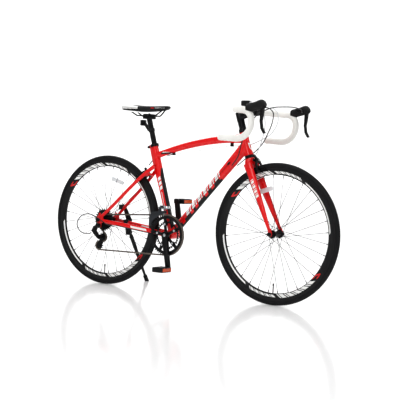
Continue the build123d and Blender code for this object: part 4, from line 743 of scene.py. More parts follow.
# ---------------------------------------------------------------- sub-assemblies
@dataclass
class FrameSet:
    """Welded frame in red enamel with its transfers, fittings and bare metal parts.

    Attributes:
        edge: width of the rounded edges in millimetres.
        mark: height of the down tube's marks in metres.
    """

    edge: float = 0.8
    mark: float = 0.040

    def build(self) -> None:
        """Finish the tubes, cut the transfers into them and dress the small parts."""
        red = {name: refined(name, RED_PAINT, self.edge) for name in
               ("head_tube", "top_tube", "down_tube", "seat_tube", "bottom_bracket_shell",
                "chainstays", "seatstays")}
        refined("frame_fittings", BLACK_ALLOY, 0.5)
        self.down_tube(red["down_tube"])
        self.seat_tube(red["seat_tube"])
        self.top_tube(red["top_tube"])
        self.stays(red["chainstays"])
        self.badge(red["head_tube"])

    def down_tube(self, tube: bpy.types.Object) -> None:
        """Print the marks on both sides and the dark band along the lower edge."""
        head, foot = steer(0.454), BRACKET + UP * 0.006
        length = (head - foot).length
        for side in (-LEFT, LEFT):
            along = (head - foot).normalized()
            chart = Chart(foot, along, Vector((-along.z, 0, along.x)), side)
            band = [[(length * 0.06, -0.05), (length * 0.64, -0.05), (length * 0.66, -0.017),
                     (length * 0.08, -0.017)]]
            band += bars(length * 0.10, (0.024, 0.05, 0.018, 0.06, 0.03, 0.044), 0.022, -0.0173,
                         -0.007, 0.008)
            transfer(tube, chart, oriented(band), BLACK_VINYL, floor=-0.001)
            shapes = cut_marks(length * 0.22, -self.mark * 0.16, self.mark * 0.56, 0.014, 6, 0.048)
            transfer(tube, chart, oriented(shapes), WHITE_VINYL, floor=0.004)

    def seat_tube(self, tube: bpy.types.Object) -> None:
        """Print three slanted blocks, the dark front edge and the dark collar area."""
        for side in (-LEFT, LEFT):
            chart = Chart(BRACKET, SEAT_DIR, SEAT_FORE, side)
            blocks = [[(u, -0.012), (u + 0.017, -0.012), (u + 0.025, 0.007), (u + 0.008, 0.007)]
                      for u in (0.232, 0.256, 0.280)]
            blocks.append([(0.085, -0.0035), (0.225, -0.0045), (0.222, -0.0005), (0.085, -0.0015)])
            transfer(tube, chart, oriented(blocks), WHITE_VINYL, floor=0.003)
            front = [[(0.03, 0.0085), (0.30, 0.0085), (0.345, 0.016), (0.345, 0.05), (0.03, 0.05)]]
            transfer(tube, chart, oriented(front), BLACK_VINYL, floor=-0.001)

    def top_tube(self, tube: bpy.types.Object) -> None:
        """Print a thin dark and a thin white streak near the seat tube."""
        start, end = seat(0.413), steer(0.487)
        for side in (-LEFT, LEFT):
            chart = Chart(start, (end - start).normalized(), UP, side)
            dark = [[(0.035, 0.002), (0.19, 0.015), (0.20, 0.019), (0.04, 0.0085)]]
            pale = [[(0.045, 0.0085), (0.17, 0.0185), (0.165, 0.0205), (0.05, 0.0115)]]
            transfer(tube, chart, oriented(dark), BLACK_VINYL, floor=0.003)
            transfer(tube, chart, oriented(pale), WHITE_VINYL, floor=0.003)

    def stays(self, stays: bpy.types.Object) -> None:
        """Print the pale panel and the dark lower edge of each chainstay."""
        start = BRACKET + Vector((-0.012, 0, 0))
        end = REAR_AXLE + Vector((0.024, 0, -0.003))
        for side in (-LEFT, LEFT):
            direction = (end - start).normalized()
            chart = Chart(start, direction, Vector((-direction.z, 0, direction.x)) * -1, side)
            panel = [[(0.12, -0.004), (0.215, -0.004), (0.22, 0.0065), (0.125, 0.0065)]]
            edge = [[(0.06, -0.03), (0.31, -0.03), (0.31, -0.0055), (0.06, -0.0085)]]
            transfer(stays, chart, oriented(panel), WHITE_VINYL, floor=0.028)
            transfer(stays, chart, oriented(edge), BLACK_VINYL, floor=0.02)

    def badge(self, tube: bpy.types.Object) -> None:
        """Print a plain shield on the front of the head tube."""
        chart = Chart(steer(0.440), STEER_DIR, LEFT, STEER_FORE)
        outer = [[(-0.020, 0.0), (-0.006, -0.0095), (0.020, -0.0105), (0.020, 0.0105),
                  (-0.006, 0.0095)]]
        inner = [[(-0.010, 0.0), (-0.003, -0.0045), (0.012, -0.0055), (0.012, 0.0055),
                  (-0.003, 0.0045)]]
        transfer(tube, chart, oriented(outer), WHITE_VINYL, floor=0.008)
        transfer(tube, chart, oriented(inner), RED_VINYL, floor=0.008)


def oriented(shapes: Iterable[Shape]) -> list[Shape]:
    """Turn each outline so that its sides' normals point out of it.

    Args:
        shapes: convex outlines.

    Returns:
        The outlines, each anticlockwise in its own two coordinates.
    """
    result = []
    for shape in shapes:
        area = sum(a[0] * b[1] - b[0] * a[1] for a, b in zip(shape, [*shape[1:], shape[0]]))
        result.append(list(shape) if area > 0 else list(reversed(shape)))
    return result


@dataclass
class Fork:
    """Red fork with marks on its blades, below the black headset parts.

    Attributes:
        top: where the blades' charts end, up the steering axis in metres.
        marks: (start, low, high, slant, count, step) of the marks on each blade, in metres.
        bands: (low, high) of the pale and the dark band on the left blade, in metres.
    """

    top: float = 0.345
    marks: Sequence[float] = (0.165, -0.008, 0.009, 0.004, 4, 0.024)
    bands: Sequence[tuple[float, float]] = ((0.262, 0.284), (0.288, 0.312))

    def build(self) -> None:
        """Finish the fork and print its marks."""
        fork = refined("fork", RED_PAINT, 0.8)
        foot = FRONT_AXLE + Vector((-0.007, 0, 0.020))
        direction = (steer(self.top) - foot).normalized()
        fore = Vector((direction.z, 0, -direction.x))
        for side in (-LEFT, LEFT):
            chart = Chart(foot, direction, fore, side)
            transfer(fork, chart, oriented(cut_marks(*self.marks)), WHITE_VINYL, floor=0.036)
            rear = [[(0.05, -0.05), (0.31, -0.05), (0.31, -0.0125), (0.05, -0.0085)]]
            transfer(fork, chart, oriented(rear), BLACK_VINYL, floor=0.030)
        across = Chart(foot, direction, fore, -LEFT)
        for (low, high), finish in zip(self.bands, (WHITE_VINYL, BLACK_VINYL)):
            band = [[(low, -0.03), (high, -0.03), (high, 0.03), (low, 0.03)]]
            transfer(fork, across, oriented(band), finish, floor=-0.07, deep=-0.015)
        refined("steerer", BLACK_ALLOY, 0.4)


@dataclass
class Wheel:
    """Wheel with a deep rim, laced spokes, a treaded tyre, a hub and a reflector.

    Attributes:
        name: front or rear.
        centre: the middle of the axle.
        tread_turn: angle in radians from one groove to the next.
        first_mark: angle in radians at which the rim's marks start.
        half: half the rim's width in metres.
        outer: the rim's outer radius.
        inner: the rim's inner radius.
        track: height of the turned brake track.
        marks: rows of blocks, each with its first and last angle and its step in degrees after
            the first mark, and its inner and outer radius in metres.
        painted_sheen_stripe: first and last angle in degrees and the two radii of the white line that
            is a painted highlight, the rim's sheen printed in white.
    """

    name: str
    centre: Vector
    tread_turn: float = TAU / 180
    first_mark: float = math.radians(147)
    half: float = 0.010
    outer: float = 0.317
    inner: float = 0.281
    track: float = 0.014
    marks: Sequence[tuple[float, float, float, float, float]] = (
        (11, 52, 8.2, 0.2838, 0.3022), (55, 84, 5.8, 0.2880, 0.2992))
    painted_sheen_stripe: tuple[float, float, float, float] = (88, 142, 0.2872, 0.2938)

    def build(self) -> None:
        """Build every part of the wheel."""
        body = f"{self.name}_wheel"
        self.tyre(body)
        self.rim(body)
        # The spokes take the dark grey wire, a painted shade.
        refined(f"{self.name}_spokes", SHADE_PAINTED_SPOKE_WIRE, 0.0)
        refined(f"{self.name}_hub", BLACK_ALLOY, 0.5)
        refined(f"{self.name}_axle", BLACK_ALLOY, 0.4)
        refined(f"{self.name}_release_lever", SILVER_ALLOY, 0.8)
        trim = refined(f"{self.name}_wheel_trim", RESIN, 0.6)
        paint(trim, lambda p: (p - self.centre).length < 0.234, CLEAR_PRISM)

    def tyre(self, body: str) -> None:
        """Turn the tyre, with grooves round it and slanted cuts across its shoulders."""
        section, ring = STANCE.section, STANCE.radius - STANCE.section
        count, sides = 720, 40
        low = math.radians(-47)
        angles = [low + (math.pi - 2 * low) * k / (sides - 1) for k in range(sides)]
        inner = [(math.cos(a), math.sin(a)) for a in (math.pi - low - 0.03, low + 0.03)]
        rings = []
        for i in range(count):
            turn = TAU * i / count
            c, s = math.cos(turn), math.sin(turn)
            points = []
            for a in angles:
                away = abs(a - math.pi / 2)
                depth = 0.0
                if 0.17 < away < 0.24:
                    depth = 0.0006
                elif 0.34 < away < 0.85:
                    phase = (turn / self.tread_turn + away * 1.4) % 1
                    depth = 0.0005 if phase < 0.34 else 0.0
                elif 1.05 < away < 1.12 or 1.95 < away < 2.02:
                    depth = 0.0004
                reach = section - 0.0001 - depth
                points.append((math.cos(a) * reach, ring + math.sin(a) * reach))
            points += [(x * (section - 0.0024), ring + y * (section - 0.0024)) for x, y in inner]
            rings.append([self.centre + Vector((r * c, y, r * s)) for y, r in points])
        piece(f"{self.name}_tyre_treaded", skin(rings, loop=True), body, TREAD,
              [f"{self.name}_tyre"], sharp=40)

    def rim(self, body: str) -> None:
        """Turn the rim and print its marks, stripes and bright line; the bright line is a painted
        highlight in white.
        """
        half, outer, inner = self.half, self.outer, self.inner
        track = outer - self.track
        sides = [(half, outer - 0.0003), (half - 0.0003, outer), (half - 0.0016, outer)]
        hollow = [(half - 0.0016, track + 0.0005), (half - 0.0046, inner + 0.010),
                  (0.0022, inner + 0.002)]
        wall_low, wall_high = (0.003, inner), (half, track)
        bend = (half - 0.003, inner + 0.009)
        face = [wall_low]
        for part in range(1, 10):
            face.append(mixed(wall_low, bend, part / 9))
        for part in range(1, 16):
            face.append(mixed(bend, wall_high, part / 16))
        face += [wall_high, (half, track + 0.0012), (half, outer - 0.0015)]
        right = [*face, *sides, *hollow]
        left = [(-y, r) for y, r in reversed(right)]
        profile = [*right, *left]
        surface = spun(profile, self.centre, 1080)
        made = piece(f"{self.name}_rim_marked", surface, body, RIM_ALLOY,
                     [f"{self.name}_rim"], sharp=28)
        for finish in (WHITE_VINYL, RED_VINYL, TRACK_ALLOY):
            made.data.materials.append(finish.material())
        back = STANCE.matrix.inverted()
        for polygon in made.data.polygons:
            spot = back @ polygon.center - self.centre
            radius = math.hypot(spot.x, spot.z)
            angle = math.atan2(spot.z, spot.x) * (1 if spot.y < 0 else -1)
            polygon.material_index = self.mark_at(radius, angle, abs(spot.y))

    def mark_at(self, radius: float, angle: float, side: float) -> int:
        """Say what is printed at a place on the rim.

        Args:
            radius: distance from the axle in metres.
            angle: angle round the axle in radians.
            side: distance from the rim's middle plane.

        Returns:
            0 for the bare rim, 1 for white print and the white painted highlight, 2 for red, 3 for the
            turned track.
        """
        if side < 0.0085 and radius > 0.306:
            return 0
        if radius > 0.3155:
            return 3
        if radius > 0.3027:
            return 0
        turn = math.degrees((self.first_mark - angle) % math.pi) + (radius - 0.292) * 260
        if radius < 0.2832 or radius > 0.3026:
            return 0
        if 1.5 < turn < 8:
            near_edge = radius < 0.287 or radius > 0.298 or turn < 4
            return 2 if near_edge else 0
        for first, last, step, low, high in self.marks:
            if first < turn < last:
                along = (turn - first) / step % 1
                return int(low < radius < high and (along < 0.54 or 0.66 < along < 0.84))
        # The white line read from these angles is a painted highlight: the rim's sheen printed in white
        # over the arc where it shows.
        first, last, low, high = self.painted_sheen_stripe
        return int(first < turn < last and low < radius < high)


def mixed(a: tuple[float, float], b: tuple[float, float], share: float) -> tuple[float, float]:
    """Find the point at a share of the way from one point to another."""
    return a[0] + (b[0] - a[0]) * share, a[1] + (b[1] - a[1]) * share


def paint(made: bpy.types.Object, inside: Callable[[Vector], bool], finish: Finish) -> None:
    """Give another finish to the faces whose middle passes a test in the upright frame.

    Args:
        made: the piece.
        inside: the test.
        finish: the finish that those faces get.
    """
    if finish.material().name not in made.data.materials:
        made.data.materials.append(finish.material())
    index = list(made.data.materials).index(finish.material())
    back = STANCE.matrix.inverted()
    for polygon in made.data.polygons:
        if inside(back @ polygon.center):
            polygon.material_index = index


@dataclass
class Cockpit:
    """Stem, taped drop bar, hoods, levers and the small lamp.

    Attributes:
        tape: radius of the taped bar in metres.
        wrap: how far one turn of tape moves along the bar.
        corners: the bar's corners after its middle, from the clamp, for the left side.
        radii: the radius of the bend at each inner corner.
    """

    tape: float = 0.016
    wrap: float = 0.019
    corners: Sequence[tuple[float, float, float]] = ((0, 0.210, 0), (0.112, 0.210, -0.006),
                                                     (0.100, 0.210, -0.140),
                                                     (-0.058, 0.214, -0.133))
    radii: Sequence[float] = (0.042, 0.052, 0.076)

    def build(self) -> None:
        """Build the bar and everything on it."""
        refined("stem", BLACK_ALLOY, 0.8)
        refined("handlebar", BLACK_ALLOY, 0.0)
        refined("brake_hoods", HOOD_RUBBER, 1.2)
        lamp = refined("headlight", RESIN, 0.6)
        paint(lamp, lambda p: p.x > BAR_CENTRE.x + 0.0205, CLEAR_PRISM)
        for side in ("left", "right"):
            refined(f"{side}_brake_lever", BLACK_ALLOY, 0.8)
            refined(f"{side}_shift_lever", BLACK_ALLOY, 0.6)
        surfaces = []
        for side in (1, -1):
            surfaces += [self.wound(side), self.plug(side)]
        piece("bar_tape_wound", merge(surfaces), "steering", CORK_TAPE, ["bar_tape"],
              sharp=60)

    def line(self, side: int) -> list[Vector]:
        """Read the bar's middle line from the tape's start to its open end."""
        start = Vector((0, 0.062, 0))
        points = [start, *[Vector(c) for c in self.corners]]
        points = [BAR_CENTRE + Vector((p.x, p.y * side, p.z)) for p in points]
        return filleted(points, self.radii, 0.0016)

    def wound(self, side: int) -> tuple[list, list]:
        """Wind tape round one half of the bar, each turn lapping the last."""
        line = self.line(side)
        total = sum((b - a).length for a, b in zip(line, line[1:]))

        def reach(run: float, angle: float) -> float:
            turn = (run / self.wrap + angle / TAU * side) % 1
            lap = 0.0011 * min(1.0, (1 - turn) * 9) * turn
            seam = 0.0009 if turn > 0.94 else 0.0
            end = 0.9 if run < 0.004 or run > total - 0.002 else 1.0
            return (self.tape - 0.0012 + lap - seam) * end

        return hose(line, self.tape, 40, reach)

    def plug(self, side: int) -> tuple[list, list]:
        """Round off the plug in one open end."""
        line = self.line(side)
        out = (line[-1] - line[-2]).normalized()
        rings = []
        for away, share in ((0, 0.9), (0.0022, 0.92), (0.0046, 0.84), (0.0058, 0.6), (0.006, 0.2)):
            rings.append(oval(line[-1] + out * away, LEFT, out.cross(LEFT), self.tape * 2 * share,
                              self.tape * 2 * share, 40))
        return skin(rings)


def filleted(points: Sequence[Vector], radii: Sequence[float], step: float) -> list[Vector]:
    """Round the corners of a line and read it at even steps.

    Args:
        points: the line's corners.
        radii: the radius of the bend at each inner corner.
        step: the distance between two read points.

    Returns:
        The points of the rounded line.
    """
    line = [points[0]]
    for before, corner, after, radius in zip(points, points[1:], points[2:], radii):
        into, out = (corner - before).normalized(), (after - corner).normalized()
        angle = into.angle(out)
        if angle < 0.01:
            line.append(corner)
            continue
        back = radius * math.tan(angle / 2)
        start = corner - into * back
        inward = (out - into * into.dot(out)).normalized()
        centre = start + inward * radius
        count = max(4, int(angle * radius / step))
        for k in range(count + 1):
            turn = angle * k / count
            line.append(centre - inward * radius * math.cos(turn) + into * radius * math.sin(turn))
    line.append(points[-1])
    even = [line[0]]
    for a, b in zip(line, line[1:]):
        parts = max(1, int((b - a).length / step))
        even += [a.lerp(b, (k + 1) / parts) for k in range(parts)]
    return even


@dataclass
class Seat:
    """Padded saddle on its rails, the seatpost and the rear reflector.

    Attributes:
        tail: how far behind the nose the tail is, along X, in metres.
        top: height of the saddle's top.
        stations: (distance from the tail, half width, depth, drop of the top) in metres.
    """

    tail: float = 0.095
    top: float = 0.946
    stations: Sequence[tuple[float, float, float, float]] = (
        (0.0012, 0.018, 0.016, 0.0080), (0.006, 0.042, 0.026, 0.0045), (0.020, 0.062, 0.033, 0.0016),
        (0.045, 0.0715, 0.037, 0.0004), (0.075, 0.069, 0.038, 0.0012), (0.105, 0.055, 0.037, 0.0035),
        (0.140, 0.038, 0.034, 0.0055), (0.180, 0.0275, 0.031, 0.0062), (0.220, 0.0225, 0.029, 0.0054),
        (0.250, 0.0195, 0.026, 0.0044), (0.272, 0.0155, 0.020, 0.0048), (0.2815, 0.0085, 0.011, 0.0072),
        (0.2843, 0.0035, 0.006, 0.0092))

    def build(self) -> None:
        """Build the saddle and finish the parts below it."""
        self.saddle()
        refined("seatpost", BLACK_ALLOY, 0.5)
        lamp = refined("rear_reflector", RESIN, 0.6)
        lens = seat(0.550).x - 0.0585
        paint(lamp, lambda p: p.x < lens, RED_PRISM)

    def section(self, station: tuple[float, float, float, float]) -> Ring:
        """Shape one cross section: a soft crown, a skirt and a hollow underside."""
        along, half, depth, drop = station
        ring, count = [], 40
        for k in range(count):
            c, s = math.cos(TAU * k / count), math.sin(TAU * k / count)
            y = math.copysign(abs(c) ** 0.72, c) * half
            if s >= 0:
                groove = 0.0022 * math.exp(-(y / 0.007) ** 2) * bump_between(along, 0.04, 0.22)
                z = -depth * 0.42 * (1 - s ** 0.9) - groove
            else:
                y *= 1 - 0.10 * abs(s)
                skirt = depth * 0.42 + depth * 0.5 * min(1.0, abs(s) * 1.9)
                z = -skirt + depth * 0.24 * max(0.0, abs(s) - 0.55) / 0.45
            ring.append(Vector((self.tail + along, y, self.top - 0.0004 - drop + z)))
        return ring

    def saddle(self) -> None:
        """Skin the sections, pad them and colour the pale rear sides."""
        made = piece("saddle_padded", skin([self.section(s) for s in self.stations]), "seat",
                     LEATHER, ["saddle"], subdivide=2, sharp=75)
        tail, top = self.tail, self.top

        def pale(p: Vector) -> bool:
            along, down = p.x - tail, top - p.z
            edge = 0.052 - 0.16 * max(0.0, along - 0.07)
            return (abs(p.y) > max(0.018, edge) and along < 0.112 and 0.004 < down < 0.0245)

        paint(made, pale, WHITE_LEATHER)
        for side in (-LEFT, LEFT):
            chart = Chart(Vector((tail, 0, top - 0.019)), Vector((1, 0, 0)), UP, side)
            line = [[(0.205, 0.0005), (0.262, 0.0015), (0.262, 0.0042), (0.205, 0.0028)]]
            mark = [[(0.180, -0.001), (0.198, -0.001), (0.200, 0.0035), (0.184, 0.0035)]]
            transfer(made, chart, oriented(line), WHITE_LEATHER, floor=0.004)
            transfer(made, chart, oriented(mark), RED_VINYL, floor=0.004)
        self.seams()

    def seams(self) -> None:
        """Lay the piping that joins the crown to the skirt on each side."""
        surfaces = []
        for side in (1, -1):
            route = []
            for along, half, depth, drop in self.stations[1:-1]:
                route.append(Vector((self.tail + along, side * (half - 0.0003),
                                     self.top - 0.0006 - drop - depth * 0.43)))
            surfaces.append(hose(through(route, 6), 0.0006, 8))
        piece("saddle_piping", merge(surfaces), "seat", LEATHER, sharp=80)


def bump_between(value: float, low: float, high: float) -> float:
    """Rise smoothly from 0 at both ends to 1 between them."""
    if not low < value < high:
        return 0.0
    return math.sin(math.pi * (value - low) / (high - low)) ** 0.6


def through(route: Sequence[Sequence[float]], steps: int = 12) -> list[Vector]:
    """Draw a smooth line through every point of a route.

    Args:
        route: the points in metres.
        steps: points for each stretch.

    Returns:
        The points of the line.
    """
    points = [Vector(p) for p in route]
    points = [points[0] * 2 - points[1], *points, points[-1] * 2 - points[-2]]
    line = []
    for a, b, c, d in zip(points, points[1:], points[2:], points[3:]):
        t1 = (b - a).length ** 0.5
        t2 = t1 + (c - b).length ** 0.5
        t3 = t2 + (d - c).length ** 0.5
        for k in range(steps):
            t = t1 + (t2 - t1) * k / steps
            ab = a * ((t1 - t) / t1) + b * (t / t1)
            bc = b * ((t2 - t) / (t2 - t1)) + c * ((t - t1) / (t2 - t1))
            cd = c * ((t3 - t) / (t3 - t2)) + d * ((t - t2) / (t3 - t2))
            abc = ab * ((t2 - t) / t2) + bc * (t / t2)
            bcd = bc * ((t3 - t) / (t3 - t1)) + cd * ((t - t1) / (t3 - t1))
            line.append(abc * ((t2 - t) / (t2 - t1)) + bcd * ((t - t1) / (t2 - t1)))
    line.append(points[-2])
    return line


@dataclass
class Drivetrain:
    """Cranks, chainrings, chain, sprockets, pedals and both derailleurs.

    Attributes:
        pitch: distance between two chain pins in metres.
        chain_side: the chain line's place across the bicycle.
        pedal_side: distance of a pedal's middle from the bicycle's middle.
        teeth: teeth of the chainring, the sprocket and the two pulleys that the chain is on.
    """

    pitch: float = 0.0127
    chain_side: float = -0.052
    pedal_side: float = 0.122
    teeth: Sequence[int] = (50, 14, 11, 11)

    def build(self) -> None:
        """Build every part of the drivetrain."""
        for name in ("chainrings", "right_crank", "left_crank"):
            refined(name, BLACK_ALLOY, 0.5)
        spindle = refined("crank_spindle", BLACK_ALLOY, 0.3)
        paint(spindle, lambda p: abs(p.y) > 0.035 and (p - BRACKET).length > 0.05, SILVER_ALLOY)
        refined("pedal_spindles", BLACK_STEEL, 0.3)
        refined("sprockets", BLACK_STEEL, 0.2)
        refined("front_derailleur", SILVER_ALLOY, 0.4)
        refined("front_derailleur_cage", CAGE_STEEL, 0.3)
        refined("rear_derailleur", BLACK_ALLOY, 0.8)
        refined("derailleur_cage", BLACK_ALLOY, 0.5)
        for name in ("guide_pulley", "tension_pulley"):
            refined(name, RESIN, 0.3)
        for side in ("right", "left"):
            self.pedal(side)
        self.chain()

    def pedal(self, side: str) -> None:
        """Finish a pedal, with an amber lens at each end."""
        middle = STANCE.upright(joint(f"{side}_pedal_spin")["pos_m"])
        middle.y = self.pedal_side * (-1 if side == "right" else 1)
        made = refined(f"{side}_pedal", RESIN, 0.8)

        def lens(p: Vector) -> bool:
            away = p - middle
            return abs(away.x) > 0.0293 and abs(away.y) < 0.0232 and abs(away.z) < 0.0063

        paint(made, lens, AMBER_PRISM)

    def circles(self) -> list[tuple[Vector, float, int]]:
        """List the wheels that the chain runs round: middle, pitch radius and sense."""
        pulleys = [STANCE.upright(joint(f"{name}_pulley_spin")["pos_m"])
                   for name in ("guide", "tension")]
        places = zip((BRACKET, REAR_AXLE, *pulleys), self.teeth, (1, 1, -1, 1))
        return [(Vector((p.x, self.chain_side, p.z)), self.pitch / 2 / math.sin(math.pi / teeth),
                 sense) for p, teeth, sense in places]

    def line(self) -> list[Vector]:
        """Draw the closed line of the chain's pins."""
        circles = self.circles()
        touches = []
        for (a, ra, sa), (b, rb, sb) in zip(circles, [*circles[1:], circles[0]]):
            away = Vector((b.x - a.x, 0, b.z - a.z))
            length, heading = away.length, math.atan2(away.z, away.x)
            tilt = math.asin((sb * rb - sa * ra) / length)
            normal = heading - math.pi / 2 - tilt
            n = Vector((math.cos(normal), 0, math.sin(normal)))
            touches.append((a + n * (sa * ra), b + n * (sb * rb)))
        line = []
        for i, (leave, arrive) in enumerate(touches):
            centre, radius, sense = circles[(i + 1) % 4]
            line.append(leave)
            start = math.atan2(arrive.z - centre.z, arrive.x - centre.x)
            end_point = touches[(i + 1) % 4][0]
            end = math.atan2(end_point.z - centre.z, end_point.x - centre.x)
            sweep = ((end - start) * sense) % TAU
            count = max(6, int(sweep * radius / 0.0015))
            for k in range(count + 1):
                turn = start + sense * sweep * k / count
                line.append(centre + Vector((math.cos(turn), 0, math.sin(turn))) * radius)
        return line

    def chain(self) -> None:
        """Lay plates and rollers along the chain's line."""
        line = self.line()
        line.append(line[0])
        steps = [(b - a).length for a, b in zip(line, line[1:])]
        total = sum(steps)
        count = round(total / self.pitch / 2) * 2
        pins = [point_at(line, steps, total * i / count) for i in range(count)]
        plates, rollers = [], []
        for i, pin in enumerate(pins):
            ahead = pins[(i + 1) % count]
            outer = i % 2 == 0
            for side in (-1, 1):
                low = 0.0028 if outer else 0.0019
                plates.append(self.plate(pin, ahead, side * low, side * (low + 0.0009)))
            rollers.append(self.drum(pin, 0.0018, 0.0038))
            rollers.append(self.drum(pin, 0.0040, 0.0017))
        body = frame["nodes"]["chain"]["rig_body"]
        piece("chain_plates", merge(plates), body, CHAIN_STEEL, ["chain"], sharp=30)
        piece("chain_rollers", merge(rollers), body, CHAIN_STEEL, sharp=30)
        log.info("chain: %d links over %.3f m", count, total)

    def plate(self, a: Vector, b: Vector, low: float, high: float) -> tuple[list, list]:
        """Cut one waisted plate between two pins."""
        ahead = (b - a).normalized()
        up = LEFT.cross(ahead)
        outline = []
        for centre, turn in ((a, math.pi / 2), (b, -math.pi / 2)):
            for k in range(7):
                angle = turn + math.pi * k / 6
                outline.append(centre + ahead * math.cos(angle) * 0.0041
                               + up * math.sin(angle) * 0.0041)
            middle = (a + b) / 2
            outline.append(middle + up * (-0.0031 if turn > 0 else 0.0031))
        rings = [[p + LEFT * low for p in outline], [p + LEFT * high for p in outline]]
        return skin(rings)

    def drum(self, centre: Vector, half: float, radius: float) -> tuple[list, list]:
        """Turn one roller or pin."""
        rings = [oval(centre + LEFT * y, Vector((1, 0, 0)), UP, radius * 2, radius * 2, 12)
                 for y in (-half, half)]
        return skin(rings)


def point_at(line: Sequence[Vector], steps: Sequence[float], run: float) -> Vector:
    """Find the point at a distance along a line."""
    for here, ahead, step in zip(line, line[1:], steps):
        if run <= step:
            return here.lerp(ahead, run / step if step else 0.0)
        run -= step
    return line[-1].copy()


@dataclass
class Brakes:
    """Side-pull brake arms with their pads and the kickstand's parts.

    Attributes:
        ends: where the brakes sit.
    """

    ends: Sequence[str] = ("front", "rear")

    def build(self) -> None:
        """Finish the arms, the kickstand bracket and the leg."""
        for end in self.ends:
            for side in ("left", "right"):
                refined(f"{end}_brake_{side}_arm", BLACK_ALLOY, 0.8)
        refined("kickstand_bracket", POWDER_BLACK, 0.6)
        leg = refined("kickstand_leg", POWDER_BLACK, 0.5)
        paint(leg, lambda p: (STANCE.matrix @ p).z < 0.030, TREAD)
        self.sleeve()

    def sleeve(self) -> None:
        """Turn the thick upper sleeve that the leg slides in to set its length."""
        pivot = STANCE.upright(joint("kickstand_fold")["pos_m"])
        down = (Vector((0.139, 0.186, 0.022)) - pivot).normalized()
        across = down.cross(LEFT).normalized()
        rings = [oval(pivot + down * run, across, down.cross(across), 2 * radius, 2 * radius, 32)
                 for run, radius in ((0.014, 0.0074), (0.018, 0.0105), (0.090, 0.0105), (0.094, 0.0092),
                                     (0.148, 0.0092), (0.150, 0.0104), (0.160, 0.0104),
                                     (0.163, 0.0074))]
        piece("kickstand_sleeve", skin(rings), "stand", POWDER_BLACK, sharp=40)


@dataclass
class Cables:
    """Housings and bare wires of the brakes and the derailleurs.

    Attributes:
        radius: radius of a housing in metres.
    """

    radius: float = 0.0025

    def build(self) -> None:
        """Build every cable; those at the bar ride on no body."""
        at_bar = (
            ("rear_brake_housing", GREY_HOUSING,
             ((.897, .057, .927), (.935, .060, .941), (.975, .052, .918), (.985, .042, .868),
              (.956, .036, .816), (.900, .033, .782), (.840, .028, .758), (.796, .013, .751),
              (.7695, 0, .750))),
            ("left_shift_housing", BLACK_HOUSING,
             ((1.034, .190, .926), (1.050, .150, .938), (1.048, .090, .945), (1.030, .020, .943),
              (1.000, -.050, .933), (.965, -.112, .898), (.916, -.118, .838), (.868, -.088, .762),
              (.824, -.046, .696), (.780, -.0245, .655))),
            ("right_shift_housing", BLACK_HOUSING,
             ((1.034, -.190, .926), (1.050, -.162, .926), (1.052, -.120, .908),
              (1.020, -.070, .862), (.968, -.020, .810), (.914, .024, .762), (.860, .040, .720),
              (.818, .036, .690), (.780, .0245, .655))),
        )
        for index, (name, finish, route) in enumerate(at_bar):
            replaced = ["control_cables"] if index == 0 else []
            made = piece(name, hose(through(route), self.radius), None, finish,
                         replaced, sharp=60)
            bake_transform(made)
        front = refined("front_brake_hardware", GREY_HOUSING, 0.0)
        paint(front, lambda p: p.z < steer(0.364).z + 0.012, BLACK_ALLOY)
        refined("frame_cables", BLACK_HOUSING, 0.0)


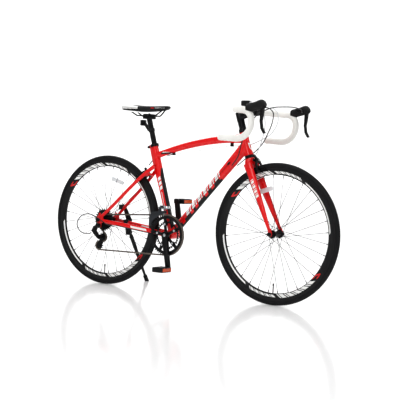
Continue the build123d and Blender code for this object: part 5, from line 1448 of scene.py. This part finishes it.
@dataclass
class Studio:
    """Pale sweep, soft lights and the camera.

    Attributes:
        eye: the camera's place in metres.
        target: the point that it looks at.
        lens: its focal length in millimetres on a 36 mm sensor.
        sweep: radius at which the floor turns up into the backdrop.
    """

    eye: Sequence[float] = (3.5763, -4.3713, 1.0193)
    target: Sequence[float] = (0.6116, 0.0, 0.4792)
    lens: float = 96.98
    sweep: float = 9.0

    def build(self) -> None:
        """Build the room."""
        self.floor()
        self.lights()
        self.camera()

    def floor(self) -> None:
        """Turn a floor that rises into a round backdrop."""
        profile = [(0.0, 0.0), (self.sweep, 0.0)]
        bend = 3.0
        for k in range(1, 13):
            angle = math.pi / 2 * k / 12
            profile.append((self.sweep + bend * math.sin(angle), bend - bend * math.cos(angle)))
        profile.append((self.sweep + bend, 9.0))
        count = 96
        points = [(0.6, 0.0, 0.0)]
        for radius, height in profile[1:]:
            for k in range(count):
                turn = TAU * k / count
                points.append((0.6 + radius * math.cos(turn), radius * math.sin(turn), height))
        faces = [(0, 1 + k, 1 + (k + 1) % count) for k in range(count)]
        for row in range(len(profile) - 2):
            low, high = 1 + row * count, 1 + (row + 1) * count
            for k in range(count):
                n = (k + 1) % count
                faces.append((low + k, high + k, high + n, low + n))
        mesh = bpy.data.meshes.new("studio_sweep")
        mesh.from_pydata(points, [], faces)
        for face in mesh.polygons:
            face.use_smooth = True
        made = bpy.data.objects.new("studio_sweep", mesh)
        bpy.context.scene.collection.objects.link(made)
        made.data.materials.append(self.paper())

    def paper(self) -> bpy.types.Material:
        """White satin board: nearly flat white with a faint sheen of what stands on it."""
        made = bpy.data.materials.new("white_satin_board")
        made.use_nodes = True
        tree = made.node_tree
        shader = tree.nodes["Principled BSDF"]
        place = add(tree, "ShaderNodeTexCoord").outputs["Object"]
        noise = add(tree, "ShaderNodeTexNoise", {"Scale": 3.0, "Detail": 2.0}, {"Vector": place})
        rough = add(tree, "ShaderNodeMapRange", {"To Min": 0.10, "To Max": 0.16},
                    {"Value": noise.outputs["Fac"]})
        tree.links.new(rough.outputs[0], shader.inputs["Roughness"])
        shader.inputs["Base Color"].default_value = linear("F7F7F7")
        shader.inputs["Emission Color"].default_value = (1, 1, 1, 1)
        shader.inputs["Emission Strength"].default_value = 0.10
        return made

    def lights(self) -> None:
        """Hang the soft boxes and light the air evenly."""
        middle = self.target
        boxes = (("key", (1.6, -4.4, 4.0), middle, 2.6, 85), ("rim", (5.2, 1.2, 2.6), middle, 1.8, 30),
                 ("back", (-2.8, 2.4, 3.2), middle, 2.2, 45), ("top", (0.6, 0.0, 5.0), middle, 3.4, 95),
                 ("backdrop", (-3.0, 4.6, 4.2), (-5.2, 8.2, 2.4), 3.0, 260))
        for name, place, aim, size, power in boxes:
            data = bpy.data.lights.new(name, "AREA")
            data.size = size
            data.energy = power
            lamp = bpy.data.objects.new(name, data)
            lamp.location = place
            away = Vector(aim) - Vector(place)
            lamp.rotation_euler = away.to_track_quat("-Z", "Y").to_euler()
            bpy.context.scene.collection.objects.link(lamp)
        world = bpy.data.worlds.new("studio_air")
        world.use_nodes = True
        air = world.node_tree.nodes["Background"]
        air.inputs["Color"].default_value = (1, 1, 1, 1)
        air.inputs["Strength"].default_value = 0.22
        bpy.context.scene.world = world
        bpy.context.scene.view_settings.view_transform = "Standard"
        bpy.context.scene.view_settings.look = "Medium High Contrast"

    def camera(self) -> None:
        """Set the camera on its stand."""
        data = bpy.data.cameras.new("camera")
        data.sensor_width = 36.0
        data.lens = self.lens
        camera = bpy.data.objects.new("camera", data)
        camera.location = self.eye
        away = Vector(self.target) - Vector(self.eye)
        camera.rotation_euler = away.to_track_quat("-Z", "Y").to_euler()
        bpy.context.scene.collection.objects.link(camera)
        bpy.context.scene.camera = camera


def main() -> None:
    """Build the bicycle's sub-assemblies in order, then the room."""
    logging.basicConfig(level=logging.INFO, format="%(name)s: %(message)s")
    FrameSet().build()
    Fork().build()
    Wheel("rear", REAR_AXLE).build()
    Wheel("front", FRONT_AXLE).build()
    Cockpit().build()
    Seat().build()
    Drivetrain().build()
    Brakes().build()
    Cables().build()
    Studio().build()
    bpy.context.view_layer.update()


if __name__ == "__main__":
    main()
